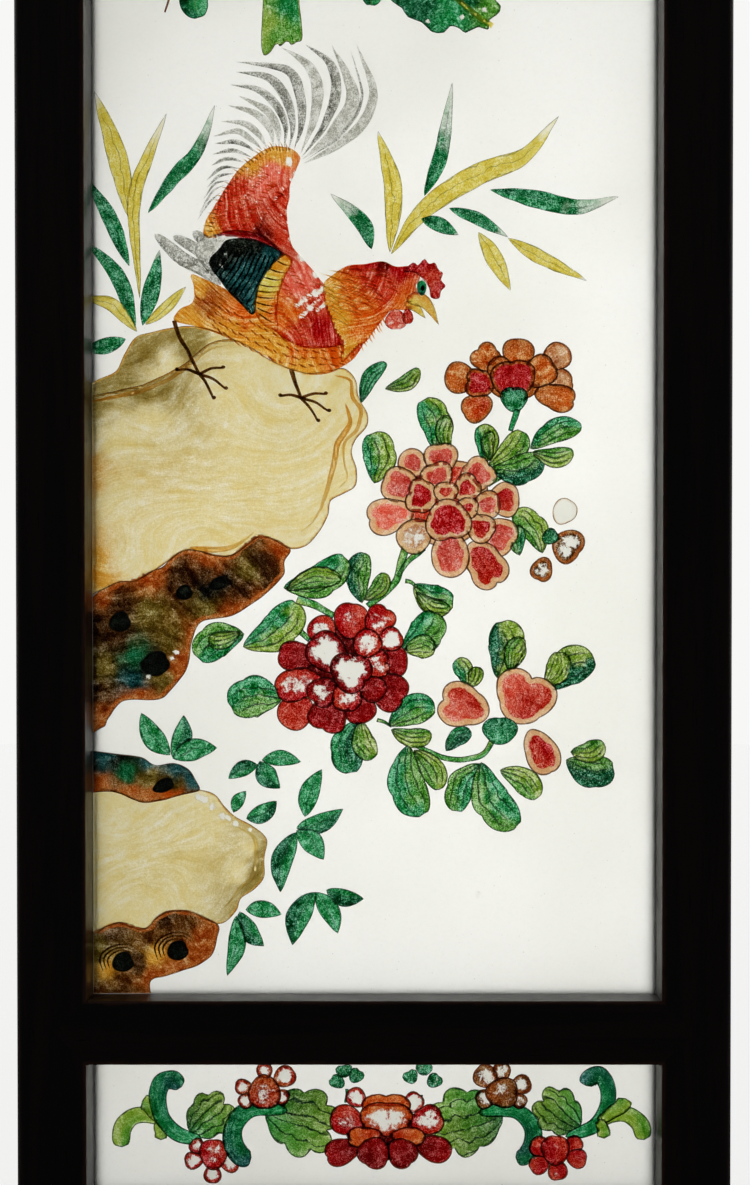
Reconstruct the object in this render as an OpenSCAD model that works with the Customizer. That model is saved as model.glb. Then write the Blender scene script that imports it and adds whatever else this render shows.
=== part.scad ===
// Table screen: a hardwood frame glazed with a tall painted pane over a shallow
// one. It stands in a low stand with shoe feet, and lifts straight up out of it.
// X is the width, -Y the front and +Z up. The origin lies on the table under the
// middle of the frame. All sizes are in millimetres.

/* [Frame] */
// Width of the frame over its stiles
frame_w = 240; // [180:1:340]
// Thickness of the frame, front to back
frame_t = 26; // [25:0.5:36]
// Face width of the stiles and of the top rail
stile_w = 23.5; // [20:0.5:32]
// Face height of the middle and lower rails
rail_h = 21.5; // [18:0.5:32]
// Height of the main opening
main_h = 446; // [250:1:620]
// Height of the waist opening
waist_h = 47; // [36:1:90]
// Clear height between the feet and the lower rail
skirt_h = 42; // [40:1:90]
// Radius of the outer long edges of stiles and top rail
outer_arris = 3; // [1:0.5:5]
// Radius of the long edges round the openings
inner_arris = 0.8; // [0.4:0.2:2]

/* [Glass] */
// Thickness of both panes
glass_t = 4; // [2.5:0.5:4.5]
// Depth from the frame's front face to the glass
glass_setback = 17; // [14:0.5:17.5]
// Width of the rebate that holds the glass
rebate_w = 5; // [4:0.5:7]
// Clearance round each pane inside its rebate
glass_gap = 0.5; // [0.3:0.1:1]
// Width of the upright beads, which show past the sight edge
side_bead_w = 6; // [5.5:0.5:9]
// Radius of the beads' exposed long edge
bead_arris = 1.5; // [0.5:0.5:2]

/* [Joinery] */
// Length of the rails' tenons
tenon_l = 14; // [10:0.5:16]
// Thickness of the rails' tenons
tenon_t = 8; // [6:0.5:9]
// Height of the middle and lower rails' tenons
tenon_h = 12; // [8:0.5:14]
// Height of the top rail's tenons
top_tenon_h = 12; // [10:0.5:14]
// Depth of the tenons behind the front face, and of the pointed shoulders
shoulder_t = 5; // [3:0.5:5]
// Glue space at the end of each mortise
glue_gap = 0.5; // [0.3:0.1:1]
// Radius of the pegs that lock the tenons
peg_r = 1.5; // [1:0.25:2]
// Distance of the pegs' centres from the rails' shoulders
peg_inset = 8; // [6:0.5:9]
// Wood left between the top pegs and the edge of their tenons
peg_edge = 2; // [1:0.25:3]
// Wood left ahead of each peg in its tenon
peg_stop = 1; // [0.5:0.25:3]
// Radius of the brass glazing pins
pin_r = 0.6; // [0.4:0.1:0.8]
// Length of the brass glazing pins
pin_l = 9; // [8.5:0.5:9.5]

/* [Aprons] */
// Thickness of each apron board
apron_t = 8; // [6:0.5:9]
// Distance from a face of the frame to its apron
apron_inset = 2; // [1:0.5:3]
// Height of the aprons in the middle
apron_h = 13; // [10:0.5:18]
// Length of the brackets that run down the stiles
bracket_h = 36; // [30:1:38]
// Width of those brackets
bracket_w = 15; // [12:0.5:20]
// Radius of the cove between apron and bracket
cove_r = 10; // [6:0.5:14]
// Radius of the rounded inner corner at the bottom of each bracket
bracket_toe_r = 9; // [4:0.5:11]
// Radius of the cusp in the middle of the cove
apron_cusp_r = 2.5; // [1.5:0.25:4]
// Radius of the middle lobe of the pendant under each apron
pendant_r = 6; // [4:0.5:8]
// Depth and thickness of the tongues that hold the aprons
tongue = 3; // [2:0.5:3.5]
// Play round each tongue in its groove
groove_play = 0.2; // [0.1:0.05:0.4]

/* [Stand] */
// Length of each shoe foot, front to back
foot_l = 172; // [160:1:220]
// Width of each foot
foot_w = 30; // [28:0.5:40]
// Height of each foot's flat top
foot_h = 28; // [26:0.5:29]
// Thickness of the foot's toe plate
foot_plate_h = 10; // [9:0.5:12]
// Height of the upright lip above the foot's cove
foot_lip = 2; // [1.5:0.5:5]
// Half length of the foot's flat top
foot_block = 58; // [56:1:62]
// Radius of the toe roll
toe_r = 8; // [6:0.5:10]
// Half length of the arch under each foot
arch_half = 30; // [20:1:31]
// Height of that arch
arch_h = 5; // [3:0.5:5.5]
// Width of the stile's tenon that drops into the foot
leg_tenon_w = 14; // [10:0.5:16]
// Thickness of that tenon, front to back
leg_tenon_t = 16; // [12:0.5:18]
// Length of that tenon
leg_tenon_l = 19.5; // [15:0.5:20]
// Sliding clearance between frame and stand
slide_gap = 0.3; // [0.2:0.05:0.5]
// Distance of the stretchers from the middle of the stand
stretcher_y = 38; // [34:1:46]
// Depth of the stretchers, front to back
stretcher_t = 10; // [8:0.5:12]
// Height of the stretchers
stretcher_h = 12; // [10:0.5:14]
// Height of the stretchers' underside above the table
stretcher_z = 9; // [8:0.5:10]
// Length of the stretchers' tenons
stretcher_tenon_l = 8; // [6:0.5:10]
// Width of the shoulder all round those tenons
stretcher_shoulder = 2; // [1:0.25:2.5]
// Radius of the stretchers' long edges
stretcher_arris = 2; // [0.5:0.25:3]

/* [Spandrels] */
// Thickness of the standing spandrels
spandrel_t = 9; // [7:0.5:12]
// Height of the spandrels above the foot
spandrel_h = 62; // [50:1:70]
// Reach of the spandrels along the foot
spandrel_l = 42; // [36:0.5:44]
// Width of the spandrel's upright blade
blade_w = 8; // [6:0.5:10]
// Height of the spandrel's base
base_h = 10; // [8:0.5:12]
// Radius of the rolled head on top of the blade
head_r = 5.5; // [5:0.25:6.5]
// Radius of the rolled toe of the base
toe_lobe_r = 6; // [5:0.25:7]
// Radius of the cusp in the middle of the cove
cusp_r = 4; // [2:0.25:5]
// Radius of the pierced eye
eye_r = 3; // [2:0.25:4]
// Height of the key that holds each spandrel in its foot
key_h = 4; // [3:0.25:5]
// Width of that key
key_w = 4; // [3:0.25:5]
// Distance of the key from the ends of the spandrel
key_inset = 6; // [4:0.5:8]

/* [Hidden] */
$fn = 48;
// Cutters run this far past the faces that they cut
past = 1;
wood = "#20130f";
peg_wood = "#3a2418";
milk_glass = "#eeeee6";
brass = "#9c7a3c";

sight_w = frame_w - 2 * stile_w;
half_sight = sight_w / 2;
half_frame = frame_w / 2;
front_y = -frame_t / 2;
back_y = frame_t / 2;
stile_mid_x = half_sight + stile_w / 2;

lower_rail_z = foot_h + skirt_h;
waist_z = lower_rail_z + rail_h;
middle_rail_z = waist_z + waist_h;
main_z = middle_rail_z + rail_h;
top_rail_z = main_z + main_h;
top_z = top_rail_z + stile_w;

glass_y = front_y + glass_setback;
bead_y = glass_y + glass_t;
bead_t = back_y - bead_y;
rebate_x = half_sight + rebate_w;

tenon_y = front_y + shoulder_t;
peg_x = half_sight + peg_inset;
peg_l = back_y - tenon_y - peg_stop;
top_peg_z = top_rail_z + peg_r + peg_edge;
pin_y = bead_y + bead_t / 2;

socket_w = leg_tenon_w + 2 * slide_gap;
socket_t = leg_tenon_t + 2 * slide_gap;
socket_h = leg_tenon_l + glue_gap;
foot_x = stile_mid_x - foot_w / 2;
half_foot = foot_l / 2;
foot_cove_r = foot_h - foot_lip - foot_plate_h;
stretcher_tenon_t = stretcher_t - 2 * stretcher_shoulder;
stretcher_tenon_h = stretcher_h - 2 * stretcher_shoulder;
stand_peg_x = foot_x + stretcher_tenon_l / 2;
stand_peg_l = foot_h - stretcher_z - stretcher_h / 2;
spandrel_y = back_y + slide_gap;
spandrel_cove_r = spandrel_l - blade_w - toe_lobe_r;
front_apron_y = front_y + apron_inset;
back_apron_y = back_y - apron_inset - apron_t;

// A cut that rounds the corner at the origin of a shape lying in +X +Y
module corner_cut(r) {
    difference() {
        translate([-past, -past]) square(r + past);
        translate([r, r]) circle(r);
    }
}

// A shape drawn as (Y, Z), drawn out along X
module along_x(x0, x1) {
    translate([x0, 0, 0]) rotate([90, 0, 90]) linear_extrude(x1 - x0) children();
}

// A shape drawn as (X, Z), drawn out along Y
module along_y(y0, y1) {
    translate([0, y1, 0]) rotate([90, 0, 0]) linear_extrude(y1 - y0) children();
}

// A shape drawn as (X, Y), drawn out along Z
module along_z(z0, z1) {
    translate([0, 0, z0]) linear_extrude(z1 - z0) children();
}

// A block between two opposite corners
module block(low, high) {
    translate(low) cube(high - low);
}

// What follows is repeated on the left
module both_sides() {
    children();
    mirror([1, 0, 0]) children();
}

// Tenon or mortise on the right of a rail, from z0 up
module rail_tenon(z0, height, length) {
    block([half_sight - past, tenon_y, z0], [half_sight + length, tenon_y + tenon_t, z0 + height]);
}

// Pointed front shoulder on the right of a rail whose underside is at z0
module pointed_shoulder(z0, thickness) {
    along_y(front_y - thickness, front_y + shoulder_t)
        polygon([[half_sight - past, z0], [half_sight, z0],
            [half_sight + rail_h / 2, z0 + rail_h / 2],
            [half_sight, z0 + rail_h], [half_sight - past, z0 + rail_h]]);
}

// Peg through a tenon, from the back of the frame, or its hole, begun `over` outside the wood
module rail_peg(z, over) {
    translate([peg_x, back_y + over, z]) rotate([90, 0, 0]) cylinder(r = peg_r, h = peg_l + over);
}

module rail_peg_set(over) {
    rail_peg(lower_rail_z + rail_h / 2, over);
    rail_peg(middle_rail_z + rail_h / 2, over);
    rail_peg(top_peg_z, over);
}

// Rebate for a pane whose opening runs from z0 to z1, open to the back
module rebate(z0, z1) {
    block([-rebate_x, glass_y, z0 - rebate_w], [rebate_x, back_y + past, z1 + rebate_w]);
}

// Pins of one pane's beads, count on each upright and two on each level bead, or their
// holes, begun `over` outside the beads
module pane_pins(z0, z1, count, over) {
    for (i = [1 : count])
        both_sides()
            translate([rebate_x - side_bead_w - over, pin_y, z0 + (z1 - z0) * (i - 0.5) / count])
                rotate([0, 90, 0]) cylinder(r = pin_r, h = pin_l + over);
    both_sides() {
        translate([half_sight / 2, pin_y, z1 - over]) cylinder(r = pin_r, h = pin_l + over);
        translate([half_sight / 2, pin_y, z0 - pin_l]) cylinder(r = pin_r, h = pin_l + over);
    }
}

module all_pins(over) {
    pane_pins(main_z, top_rail_z, 4, over);
    pane_pins(waist_z, middle_rail_z, 1, over);
}

// Tongue or groove at one end of an apron
module apron_tongue(y0, extra) {
    block([half_sight - past, y0 + (apron_t - tongue) / 2, lower_rail_z - bracket_h + tongue - extra],
        [half_sight + tongue + extra, y0 + (apron_t + tongue) / 2, lower_rail_z]);
}

// Tongue or groove along the top of an apron
module apron_top_tongue(y0, extra) {
    block([-half_sight + tongue - extra, y0 + (apron_t - tongue) / 2, lower_rail_z - past],
        [half_sight - tongue + extra, y0 + (apron_t + tongue) / 2, lower_rail_z + tongue + extra]);
}

module stile_profile() {
    difference() {
        translate([half_sight, front_y]) square([stile_w, frame_t]);
        translate([half_frame, front_y]) mirror([1, 0]) corner_cut(outer_arris);
        translate([half_frame, back_y]) mirror([1, 0]) mirror([0, 1]) corner_cut(outer_arris);
        translate([half_sight, front_y]) corner_cut(inner_arris);
    }
}

// The right stile, with its leg tenon, mortises, rebates and holes
module stile() {
    color(wood) difference() {
        union() {
            along_z(foot_h, top_z) stile_profile();
            block([stile_mid_x - leg_tenon_w / 2, -leg_tenon_t / 2, foot_h - leg_tenon_l],
                [stile_mid_x + leg_tenon_w / 2, leg_tenon_t / 2, foot_h + past]);
        }
        along_y(front_y - past, back_y + past)
            polygon([[half_sight - past, top_rail_z - past],
                [half_frame + past, top_z + past], [half_sight - past, top_z + past]]);
        rebate(main_z, top_rail_z);
        rebate(waist_z, middle_rail_z);
        rail_tenon(top_rail_z, top_tenon_h, tenon_l + glue_gap);
        for (z0 = [lower_rail_z, middle_rail_z]) {
            rail_tenon(z0 + (rail_h - tenon_h) / 2, tenon_h, tenon_l + glue_gap);
            pointed_shoulder(z0, past);
        }
        for (y0 = [front_apron_y, back_apron_y]) apron_tongue(y0, groove_play);
        rail_peg_set(past);
        all_pins(past);
    }
}

module left_stile() { mirror([1, 0, 0]) stile(); }

module right_stile() { stile(); }

module top_rail_profile() {
    difference() {
        translate([front_y, top_rail_z]) square([frame_t, stile_w]);
        translate([front_y, top_z]) mirror([0, 1]) corner_cut(outer_arris);
        translate([back_y, top_z]) mirror([1, 0]) mirror([0, 1]) corner_cut(outer_arris);
        translate([front_y, top_rail_z]) corner_cut(inner_arris);
    }
}

module top_rail() {
    color(wood) difference() {
        union() {
            intersection() {
                along_x(-half_frame, half_frame) top_rail_profile();
                along_y(front_y, back_y)
                    polygon([[-half_sight, top_rail_z], [half_sight, top_rail_z],
                        [half_frame, top_z], [-half_frame, top_z]]);
            }
            both_sides() rail_tenon(top_rail_z, top_tenon_h, tenon_l);
        }
        rebate(main_z, top_rail_z);
        both_sides() rail_peg(top_peg_z, past);
        all_pins(past);
    }
}

// A rail between the stiles with its underside at z0, before its rebates
module rail_blank(z0) {
    along_x(-half_sight, half_sight) difference() {
        translate([front_y, z0]) square([frame_t, rail_h]);
        translate([front_y, z0]) corner_cut(inner_arris);
        translate([front_y, z0 + rail_h]) mirror([0, 1]) corner_cut(inner_arris);
    }
    both_sides() {
        rail_tenon(z0 + (rail_h - tenon_h) / 2, tenon_h, tenon_l);
        pointed_shoulder(z0, 0);
    }
}

module middle_rail() {
    color(wood) difference() {
        rail_blank(middle_rail_z);
        rebate(main_z, top_rail_z);
        rebate(waist_z, middle_rail_z);
        both_sides() rail_peg(middle_rail_z + rail_h / 2, past);
        all_pins(past);
    }
}

module lower_rail() {
    color(wood) difference() {
        rail_blank(lower_rail_z);
        rebate(waist_z, middle_rail_z);
        for (y0 = [front_apron_y, back_apron_y]) apron_top_tongue(y0, groove_play);
        both_sides() rail_peg(lower_rail_z + rail_h / 2, past);
        all_pins(past);
    }
}

// A pane in the rebate of the opening from z0 to z1
module pane(z0, z1) {
    reach = rebate_w - glass_gap;
    color(milk_glass)
        block([-half_sight - reach, glass_y, z0 - reach], [half_sight + reach, bead_y, z1 + reach]);
}

module main_pane() { pane(main_z, top_rail_z); }

module waist_pane() { pane(waist_z, middle_rail_z); }

// The upright bead on the right of the opening from z0 to z1
module side_bead(z0, z1) {
    color(wood) difference() {
        along_z(z0 - rebate_w, z1 + rebate_w) difference() {
            translate([rebate_x - side_bead_w, bead_y]) square([side_bead_w, bead_t]);
            translate([rebate_x - side_bead_w, back_y]) mirror([0, 1]) corner_cut(bead_arris);
        }
        all_pins(past);
    }
}

// A level bead between the uprights, from z0 up, with its exposed edge on top or below
module level_bead(z0, exposed_top) {
    color(wood) difference() {
        along_x(side_bead_w - rebate_x, rebate_x - side_bead_w) difference() {
            translate([bead_y, z0]) square([bead_t, rebate_w]);
            if (exposed_top)
                translate([back_y, z0 + rebate_w]) mirror([1, 0]) mirror([0, 1]) corner_cut(bead_arris);
            else
                translate([back_y, z0]) mirror([1, 0]) corner_cut(bead_arris);
        }
        all_pins(past);
    }
}

module main_bead_left() { mirror([1, 0, 0]) side_bead(main_z, top_rail_z); }

module main_bead_right() { side_bead(main_z, top_rail_z); }

module main_bead_top() { level_bead(top_rail_z, false); }

module main_bead_bottom() { level_bead(main_z - rebate_w, true); }

module waist_bead_left() { mirror([1, 0, 0]) side_bead(waist_z, middle_rail_z); }

module waist_bead_right() { side_bead(waist_z, middle_rail_z); }

module waist_bead_top() { level_bead(middle_rail_z, false); }

module waist_bead_bottom() { level_bead(waist_z - rebate_w, true); }

module bead_pins() { color(brass) all_pins(0); }

module rail_pegs() { color(peg_wood) both_sides() rail_peg_set(0); }

// The corner at the origin of a shape in -X -Y, filled by a cove with a cusp in its middle
module cusped_cove(r, cusp) {
    difference() {
        translate([-r, -r]) square(r + past);
        translate([-r, -r]) circle(r);
    }
    translate([-r, -r]) rotate(45) translate([r, 0]) circle(cusp);
}

// A three-lobed pendant under the edge at the origin
module pendant(r) {
    circle(r);
    for (side = [-1, 1]) translate([side * 1.5 * r, 0]) circle(r / 2);
}

// Outline of an apron: a bar with a bracket down each stile
module apron_outline() {
    bar_z = lower_rail_z - apron_h;
    foot_z = lower_rail_z - bracket_h;
    translate([-half_sight, bar_z]) square([sight_w, apron_h]);
    translate([0, bar_z]) pendant(pendant_r);
    for (side = [-1, 1]) scale([side, 1]) translate([half_sight - bracket_w, 0]) {
        translate([0, foot_z]) difference() {
            square([bracket_w, bracket_h]);
            corner_cut(bracket_toe_r);
        }
        translate([0, bar_z]) cusped_cove(cove_r, apron_cusp_r);
    }
}

module apron(y0) {
    color(wood) {
        along_y(y0, y0 + apron_t) apron_outline();
        both_sides() apron_tongue(y0, 0);
        apron_top_tongue(y0, 0);
    }
}

module front_apron() { apron(front_apron_y); }

module back_apron() { apron(back_apron_y); }

// Half of the foot's side outline, toward +Y
module half_foot_outline() {
    difference() {
        union() {
            square([half_foot - toe_r, foot_plate_h]);
            translate([half_foot - toe_r, toe_r]) circle(toe_r);
            square([foot_block, foot_h]);
            translate([foot_block, foot_plate_h]) difference() {
                translate([-past, -past]) square(foot_cove_r + past);
                translate([foot_cove_r, foot_cove_r]) circle(foot_cove_r);
            }
        }
        translate([-past, -past]) square([arch_half - arch_h + past, arch_h + past]);
        translate([arch_half - arch_h, 0]) circle(arch_h);
    }
}

// Tenon or mortise at the right end of a stretcher
module stretcher_tenon(side, length) {
    mid_z = stretcher_z + stretcher_h / 2;
    block([foot_x - past, side * stretcher_y - stretcher_tenon_t / 2, mid_z - stretcher_tenon_h / 2],
        [foot_x + length, side * stretcher_y + stretcher_tenon_t / 2, mid_z + stretcher_tenon_h / 2]);
}

// Peg through a stretcher's tenon, from the top of the foot, or its hole
module stand_peg(side, over) {
    translate([stand_peg_x, side * stretcher_y, foot_h - stand_peg_l])
        cylinder(r = peg_r, h = stand_peg_l + over);
}

// Key under the back right spandrel, or the slot for it
module spandrel_key(extra) {
    block([stile_mid_x - key_w / 2, spandrel_y + key_inset, foot_h - key_h - extra],
        [stile_mid_x + key_w / 2, spandrel_y + spandrel_l - key_inset, foot_h + past]);
}

// The right foot, with its socket, mortises and slots
module foot() {
    color(wood) difference() {
        along_x(foot_x, foot_x + foot_w) {
            half_foot_outline();
            mirror([1, 0]) half_foot_outline();
        }
        block([stile_mid_x - socket_w / 2, -socket_t / 2, foot_h - socket_h],
            [stile_mid_x + socket_w / 2, socket_t / 2, foot_h + past]);
        for (side = [-1, 1]) {
            stretcher_tenon(side, stretcher_tenon_l + glue_gap);
            stand_peg(side, past);
            scale([1, side, 1]) spandrel_key(groove_play);
        }
    }
}

module left_foot() { mirror([1, 0, 0]) foot(); }

module right_foot() { foot(); }

module stretcher(side) {
    color(wood) difference() {
        union() {
            along_x(-foot_x, foot_x)
                translate([side * stretcher_y - stretcher_t / 2, stretcher_z]) difference() {
                    square([stretcher_t, stretcher_h]);
                    corner_cut(stretcher_arris);
                    translate([stretcher_t, 0]) mirror([1, 0]) corner_cut(stretcher_arris);
                    translate([0, stretcher_h]) mirror([0, 1]) corner_cut(stretcher_arris);
                    translate([stretcher_t, stretcher_h])
                        mirror([1, 0]) mirror([0, 1]) corner_cut(stretcher_arris);
                }
            both_sides() stretcher_tenon(side, stretcher_tenon_l);
        }
        both_sides() stand_peg(side, past);
    }
}

module front_stretcher() { stretcher(-1); }

module back_stretcher() { stretcher(1); }

module stand_pegs() {
    color(peg_wood) for (side = [-1, 1]) both_sides() stand_peg(side, 0);
}

// Side outline of the back spandrel, as (Y, Z): a blade up the stile and a toe along the foot
module spandrel_outline() {
    translate([spandrel_y, foot_h]) difference() {
        union() {
            square([blade_w, spandrel_h - head_r]);
            translate([head_r, spandrel_h - head_r]) circle(head_r);
            square([spandrel_l - toe_lobe_r, base_h]);
            translate([spandrel_l - toe_lobe_r, toe_lobe_r]) circle(toe_lobe_r);
            translate([blade_w, base_h]) rotate(180) cusped_cove(spandrel_cove_r, cusp_r);
        }
        translate([blade_w + eye_r / 2, base_h + eye_r / 2]) circle(eye_r);
    }
}

// The back right spandrel
module spandrel() {
    color(wood) {
        along_x(stile_mid_x - spandrel_t / 2, stile_mid_x + spandrel_t / 2) spandrel_outline();
        spandrel_key(0);
    }
}

module left_front_spandrel() { mirror([1, 0, 0]) mirror([0, 1, 0]) spandrel(); }

module left_back_spandrel() { mirror([1, 0, 0]) spandrel(); }

module right_front_spandrel() { mirror([0, 1, 0]) spandrel(); }

module right_back_spandrel() { spandrel(); }

left_stile();
right_stile();
top_rail();
middle_rail();
lower_rail();
main_pane();
main_bead_left();
main_bead_right();
main_bead_top();
main_bead_bottom();
waist_pane();
waist_bead_left();
waist_bead_right();
waist_bead_top();
waist_bead_bottom();
bead_pins();
rail_pegs();
front_apron();
back_apron();
left_foot();
right_foot();
front_stretcher();
back_stretcher();
left_front_spandrel();
left_back_spandrel();
right_front_spandrel();
right_back_spandrel();
stand_pegs();
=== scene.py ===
"""Dresses a table screen: dark waxed hardwood round milky panes painted in transparent enamels."""

import math

import bmesh
import bpy
import numpy as np
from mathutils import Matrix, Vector, noise


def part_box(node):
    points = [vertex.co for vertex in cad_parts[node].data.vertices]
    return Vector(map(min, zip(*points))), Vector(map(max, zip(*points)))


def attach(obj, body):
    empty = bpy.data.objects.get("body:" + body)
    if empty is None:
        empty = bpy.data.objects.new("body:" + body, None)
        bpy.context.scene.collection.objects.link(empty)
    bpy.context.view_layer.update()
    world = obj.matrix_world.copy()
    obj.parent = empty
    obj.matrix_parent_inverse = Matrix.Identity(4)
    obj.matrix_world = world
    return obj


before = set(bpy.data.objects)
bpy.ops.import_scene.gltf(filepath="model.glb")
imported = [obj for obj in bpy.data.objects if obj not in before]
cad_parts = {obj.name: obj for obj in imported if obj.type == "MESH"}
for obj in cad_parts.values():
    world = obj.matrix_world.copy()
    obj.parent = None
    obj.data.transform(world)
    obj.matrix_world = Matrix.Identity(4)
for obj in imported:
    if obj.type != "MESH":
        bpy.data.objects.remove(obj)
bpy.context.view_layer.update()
FRAME_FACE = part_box("left_stile")[0].y

bl_info = {
    "name": "Table Screen",
    "version": (1, 0, 0),
    "blender": (4, 5, 0),
    "location": "View3D > Sidebar > Table Screen",
    "description": "Finishes the wood and glass of a table screen and paints its panes",
    "category": "Object",
}

MM = 0.001
FRAME_WOOD = ["left_stile", "right_stile", "top_rail", "middle_rail", "lower_rail",
              "main_bead_left", "main_bead_right", "main_bead_top", "main_bead_bottom",
              "waist_bead_left", "waist_bead_right", "waist_bead_top", "waist_bead_bottom",
              "front_apron", "back_apron"]
STAND_WOOD = ["left_foot", "right_foot", "front_stretcher", "back_stretcher",
              "left_front_spandrel", "left_back_spandrel",
              "right_front_spandrel", "right_back_spandrel"]
PEGS = ["rail_pegs", "stand_pegs"]
PANES = ["main_pane", "waist_pane"]


def to_linear(value):
    """Linear light of one display value between 0 and 1."""
    if value <= 0.04045:
        return value / 12.92
    return ((value + 0.055) / 1.055) ** 2.4


def shade(red, green, blue):
    """Linear colour of a display colour given as three numbers up to 255."""
    return tuple(to_linear(level / 255) for level in (red, green, blue))


def colour_property(name, description, display):
    return bpy.props.FloatVectorProperty(
        name=name, description=description, default=shade(*display),
        subtype="COLOR", size=3, min=0.0, max=1.0)


def length_property(name, description, default, high, low=0.0):
    """A length in metres, shown finely enough for a film of enamel."""
    return bpy.props.FloatProperty(name=name, description=description, default=default, min=low, max=high,
                                   unit="LENGTH", precision=6)


def share_property(name, description, default):
    return bpy.props.FloatProperty(name=name, description=description, default=default, min=0.0, max=1.0,
                                   subtype="FACTOR")


class WoodSettings(bpy.types.PropertyGroup):
    """Colours and figure of the hardwood."""

    dark: colour_property("Dark", "Ground of the wood", (21, 14, 12))
    light: colour_property("Light", "Paler streaks of the figure", (40, 25, 19))
    worn: colour_property("Worn", "Edges rubbed back to redder wood", (78, 46, 32))
    peg: colour_property("Pegs", "End grain of the pegs", (72, 47, 33))
    pore_depth: length_property("Pore depth", "Depth of the open grain", 0.00006, 0.001)
    wear_width: length_property("Wear width", "How far the wear reaches in from an edge", 0.0016, 0.01)


class GlassSettings(bpy.types.PropertyGroup):
    """Body of the milky panes and the brass pins."""

    milk: colour_property("Milk", "Colour of the milky glass", (249, 249, 244))
    cloud: colour_property("Cloud", "Colour of its cloudier parts", (240, 240, 233))
    # This sooty colour also gives the dust blots and the painted shade along the sight edge.
    soot_and_shade: colour_property("Soot", "Dirt gathered along the sight edge", (150, 142, 126))
    brass: colour_property("Brass", "Tarnished brass of the pins", (150, 120, 66))
    clearness: share_property("Clearness", "Share of the light that passes through", 0.78)
    blur: share_property("Blur", "How far the glass scatters what passes through", 0.7)


class StageSettings(bpy.types.PropertyGroup):
    """Floor, lights and camera."""

    floor_size: length_property("Floor size", "Side of the square floor", 16.0, 50.0, 1.0)
    eye_height: length_property("Eye height", "Height of the camera above the floor", 0.2676, 2.0)
    eye_distance: length_property("Eye distance", "From the camera to the frame's face", 0.7, 5.0, 0.1)
    eye_side: length_property("Eye side", "How far the camera stands right of the middle", 0.0104, 1.0, -1.0)
    eye_tilt: bpy.props.FloatProperty(
        name="Eye tilt", description="Tilt of the camera, where a quarter turn is level",
        default=math.radians(89.0), unit="ROTATION", min=0.0, max=math.pi)
    focal_length: bpy.props.FloatProperty(
        name="Focal length", description="Focal length of the lens for a 36 mm sensor, in millimetres",
        default=63.64, min=10.0, max=300.0)
    lens_shift: bpy.props.FloatVectorProperty(
        name="Lens shift", description="Shift of the lens that frames the picture",
        default=(-0.0253, 0.1047), size=2, min=-1.0, max=1.0)
    backlight: bpy.props.FloatProperty(
        name="Backlight", description="Power of the soft light behind the panes",
        default=1.98, unit="POWER", min=0.0, max=200.0)
    backlight_place: bpy.props.FloatVectorProperty(
        name="Backlight place", description="Middle of the light behind the panes",
        default=(0.28, 0.8, 0.37), unit="LENGTH", size=3)
    backlight_size: bpy.props.FloatVectorProperty(
        name="Backlight size", description="Width and height of that light",
        default=(1.0, 0.88), unit="LENGTH", size=2, min=0.1, max=5.0)


class PaintSettings(bpy.types.PropertyGroup):
    """Enamels, and the painter's grid that the motifs are laid out on."""

    square: length_property("Grid square", "Side of a square of the painter's grid", 0.0003423, 0.001, 0.0001)
    film: length_property("Film thickness", "Thickness of one layer of enamel", 0.000018, 0.0001, 0.000005)
    layer: length_property("Layer step", "Height that each overlapping layer adds", 0.00003, 0.0002, 0.00001)
    cell: bpy.props.FloatProperty(
        name="Cell", description="Size of the mesh cells, in grid squares",
        default=2.2, min=1.0, max=8.0)
    ink: colour_property("Ink", "Brown pencilled outlines", (84, 44, 22))
    leaf_ink: colour_property("Leaf ink", "Green-black outlines and veins", (10, 44, 26))
    white: colour_property("White", "Bare glass where enamel has flaked", (252, 252, 248))
    teal: colour_property("Teal", "Blue-green of leaves and stems", (48, 172, 106))
    green: colour_property("Green", "Mid green of leaves", (116, 182, 78))
    deep: colour_property("Deep green", "Darkest leaves", (22, 120, 76))
    spring: colour_property("Spring green", "Yellow-green parts of leaves", (174, 202, 92))
    yellow: colour_property("Yellow", "Yellow bamboo leaves", (233, 221, 122))
    ochre: colour_property("Ochre", "Ochre stains and feather edges", (236, 188, 84))
    orange: colour_property("Orange", "Orange feathers and petals", (232, 138, 52))
    rust: colour_property("Rust", "Brown-orange of belly and rock rims", (190, 106, 38))
    brown: colour_property("Brown", "Dark brown of rock and legs", (118, 74, 28))
    umber: colour_property("Umber", "The dark brown of the rocks' hollowed parts", (84, 52, 22))
    moss: colour_property("Moss", "The dull green in the rocks' hollowed parts", (126, 106, 38))
    crimson: colour_property("Crimson", "Red petals and comb", (196, 30, 34))
    maroon: colour_property("Maroon", "Darkest petals", (122, 10, 10))
    scarlet: colour_property("Scarlet", "Red of the cockerel's back", (218, 84, 54))
    pink: colour_property("Pink", "Pale petals", (244, 150, 130))
    buff: colour_property("Buff", "Pale rims of petals", (238, 206, 160))
    straw: colour_property("Straw", "Ground of the rocks", (247, 237, 196))
    olive: colour_property("Olive", "Shaded rock", (186, 168, 104))
    slate: colour_property("Slate", "Blue-green of the rock", (34, 98, 100))
    black: colour_property("Black", "Holes in the rock and stripes of the wing", (28, 34, 26))
    grey: colour_property("Grey", "Dark side of the tail feathers", (176, 176, 170))
    silver: colour_property("Silver", "Pale side of the tail feathers", (220, 220, 215))


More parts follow.
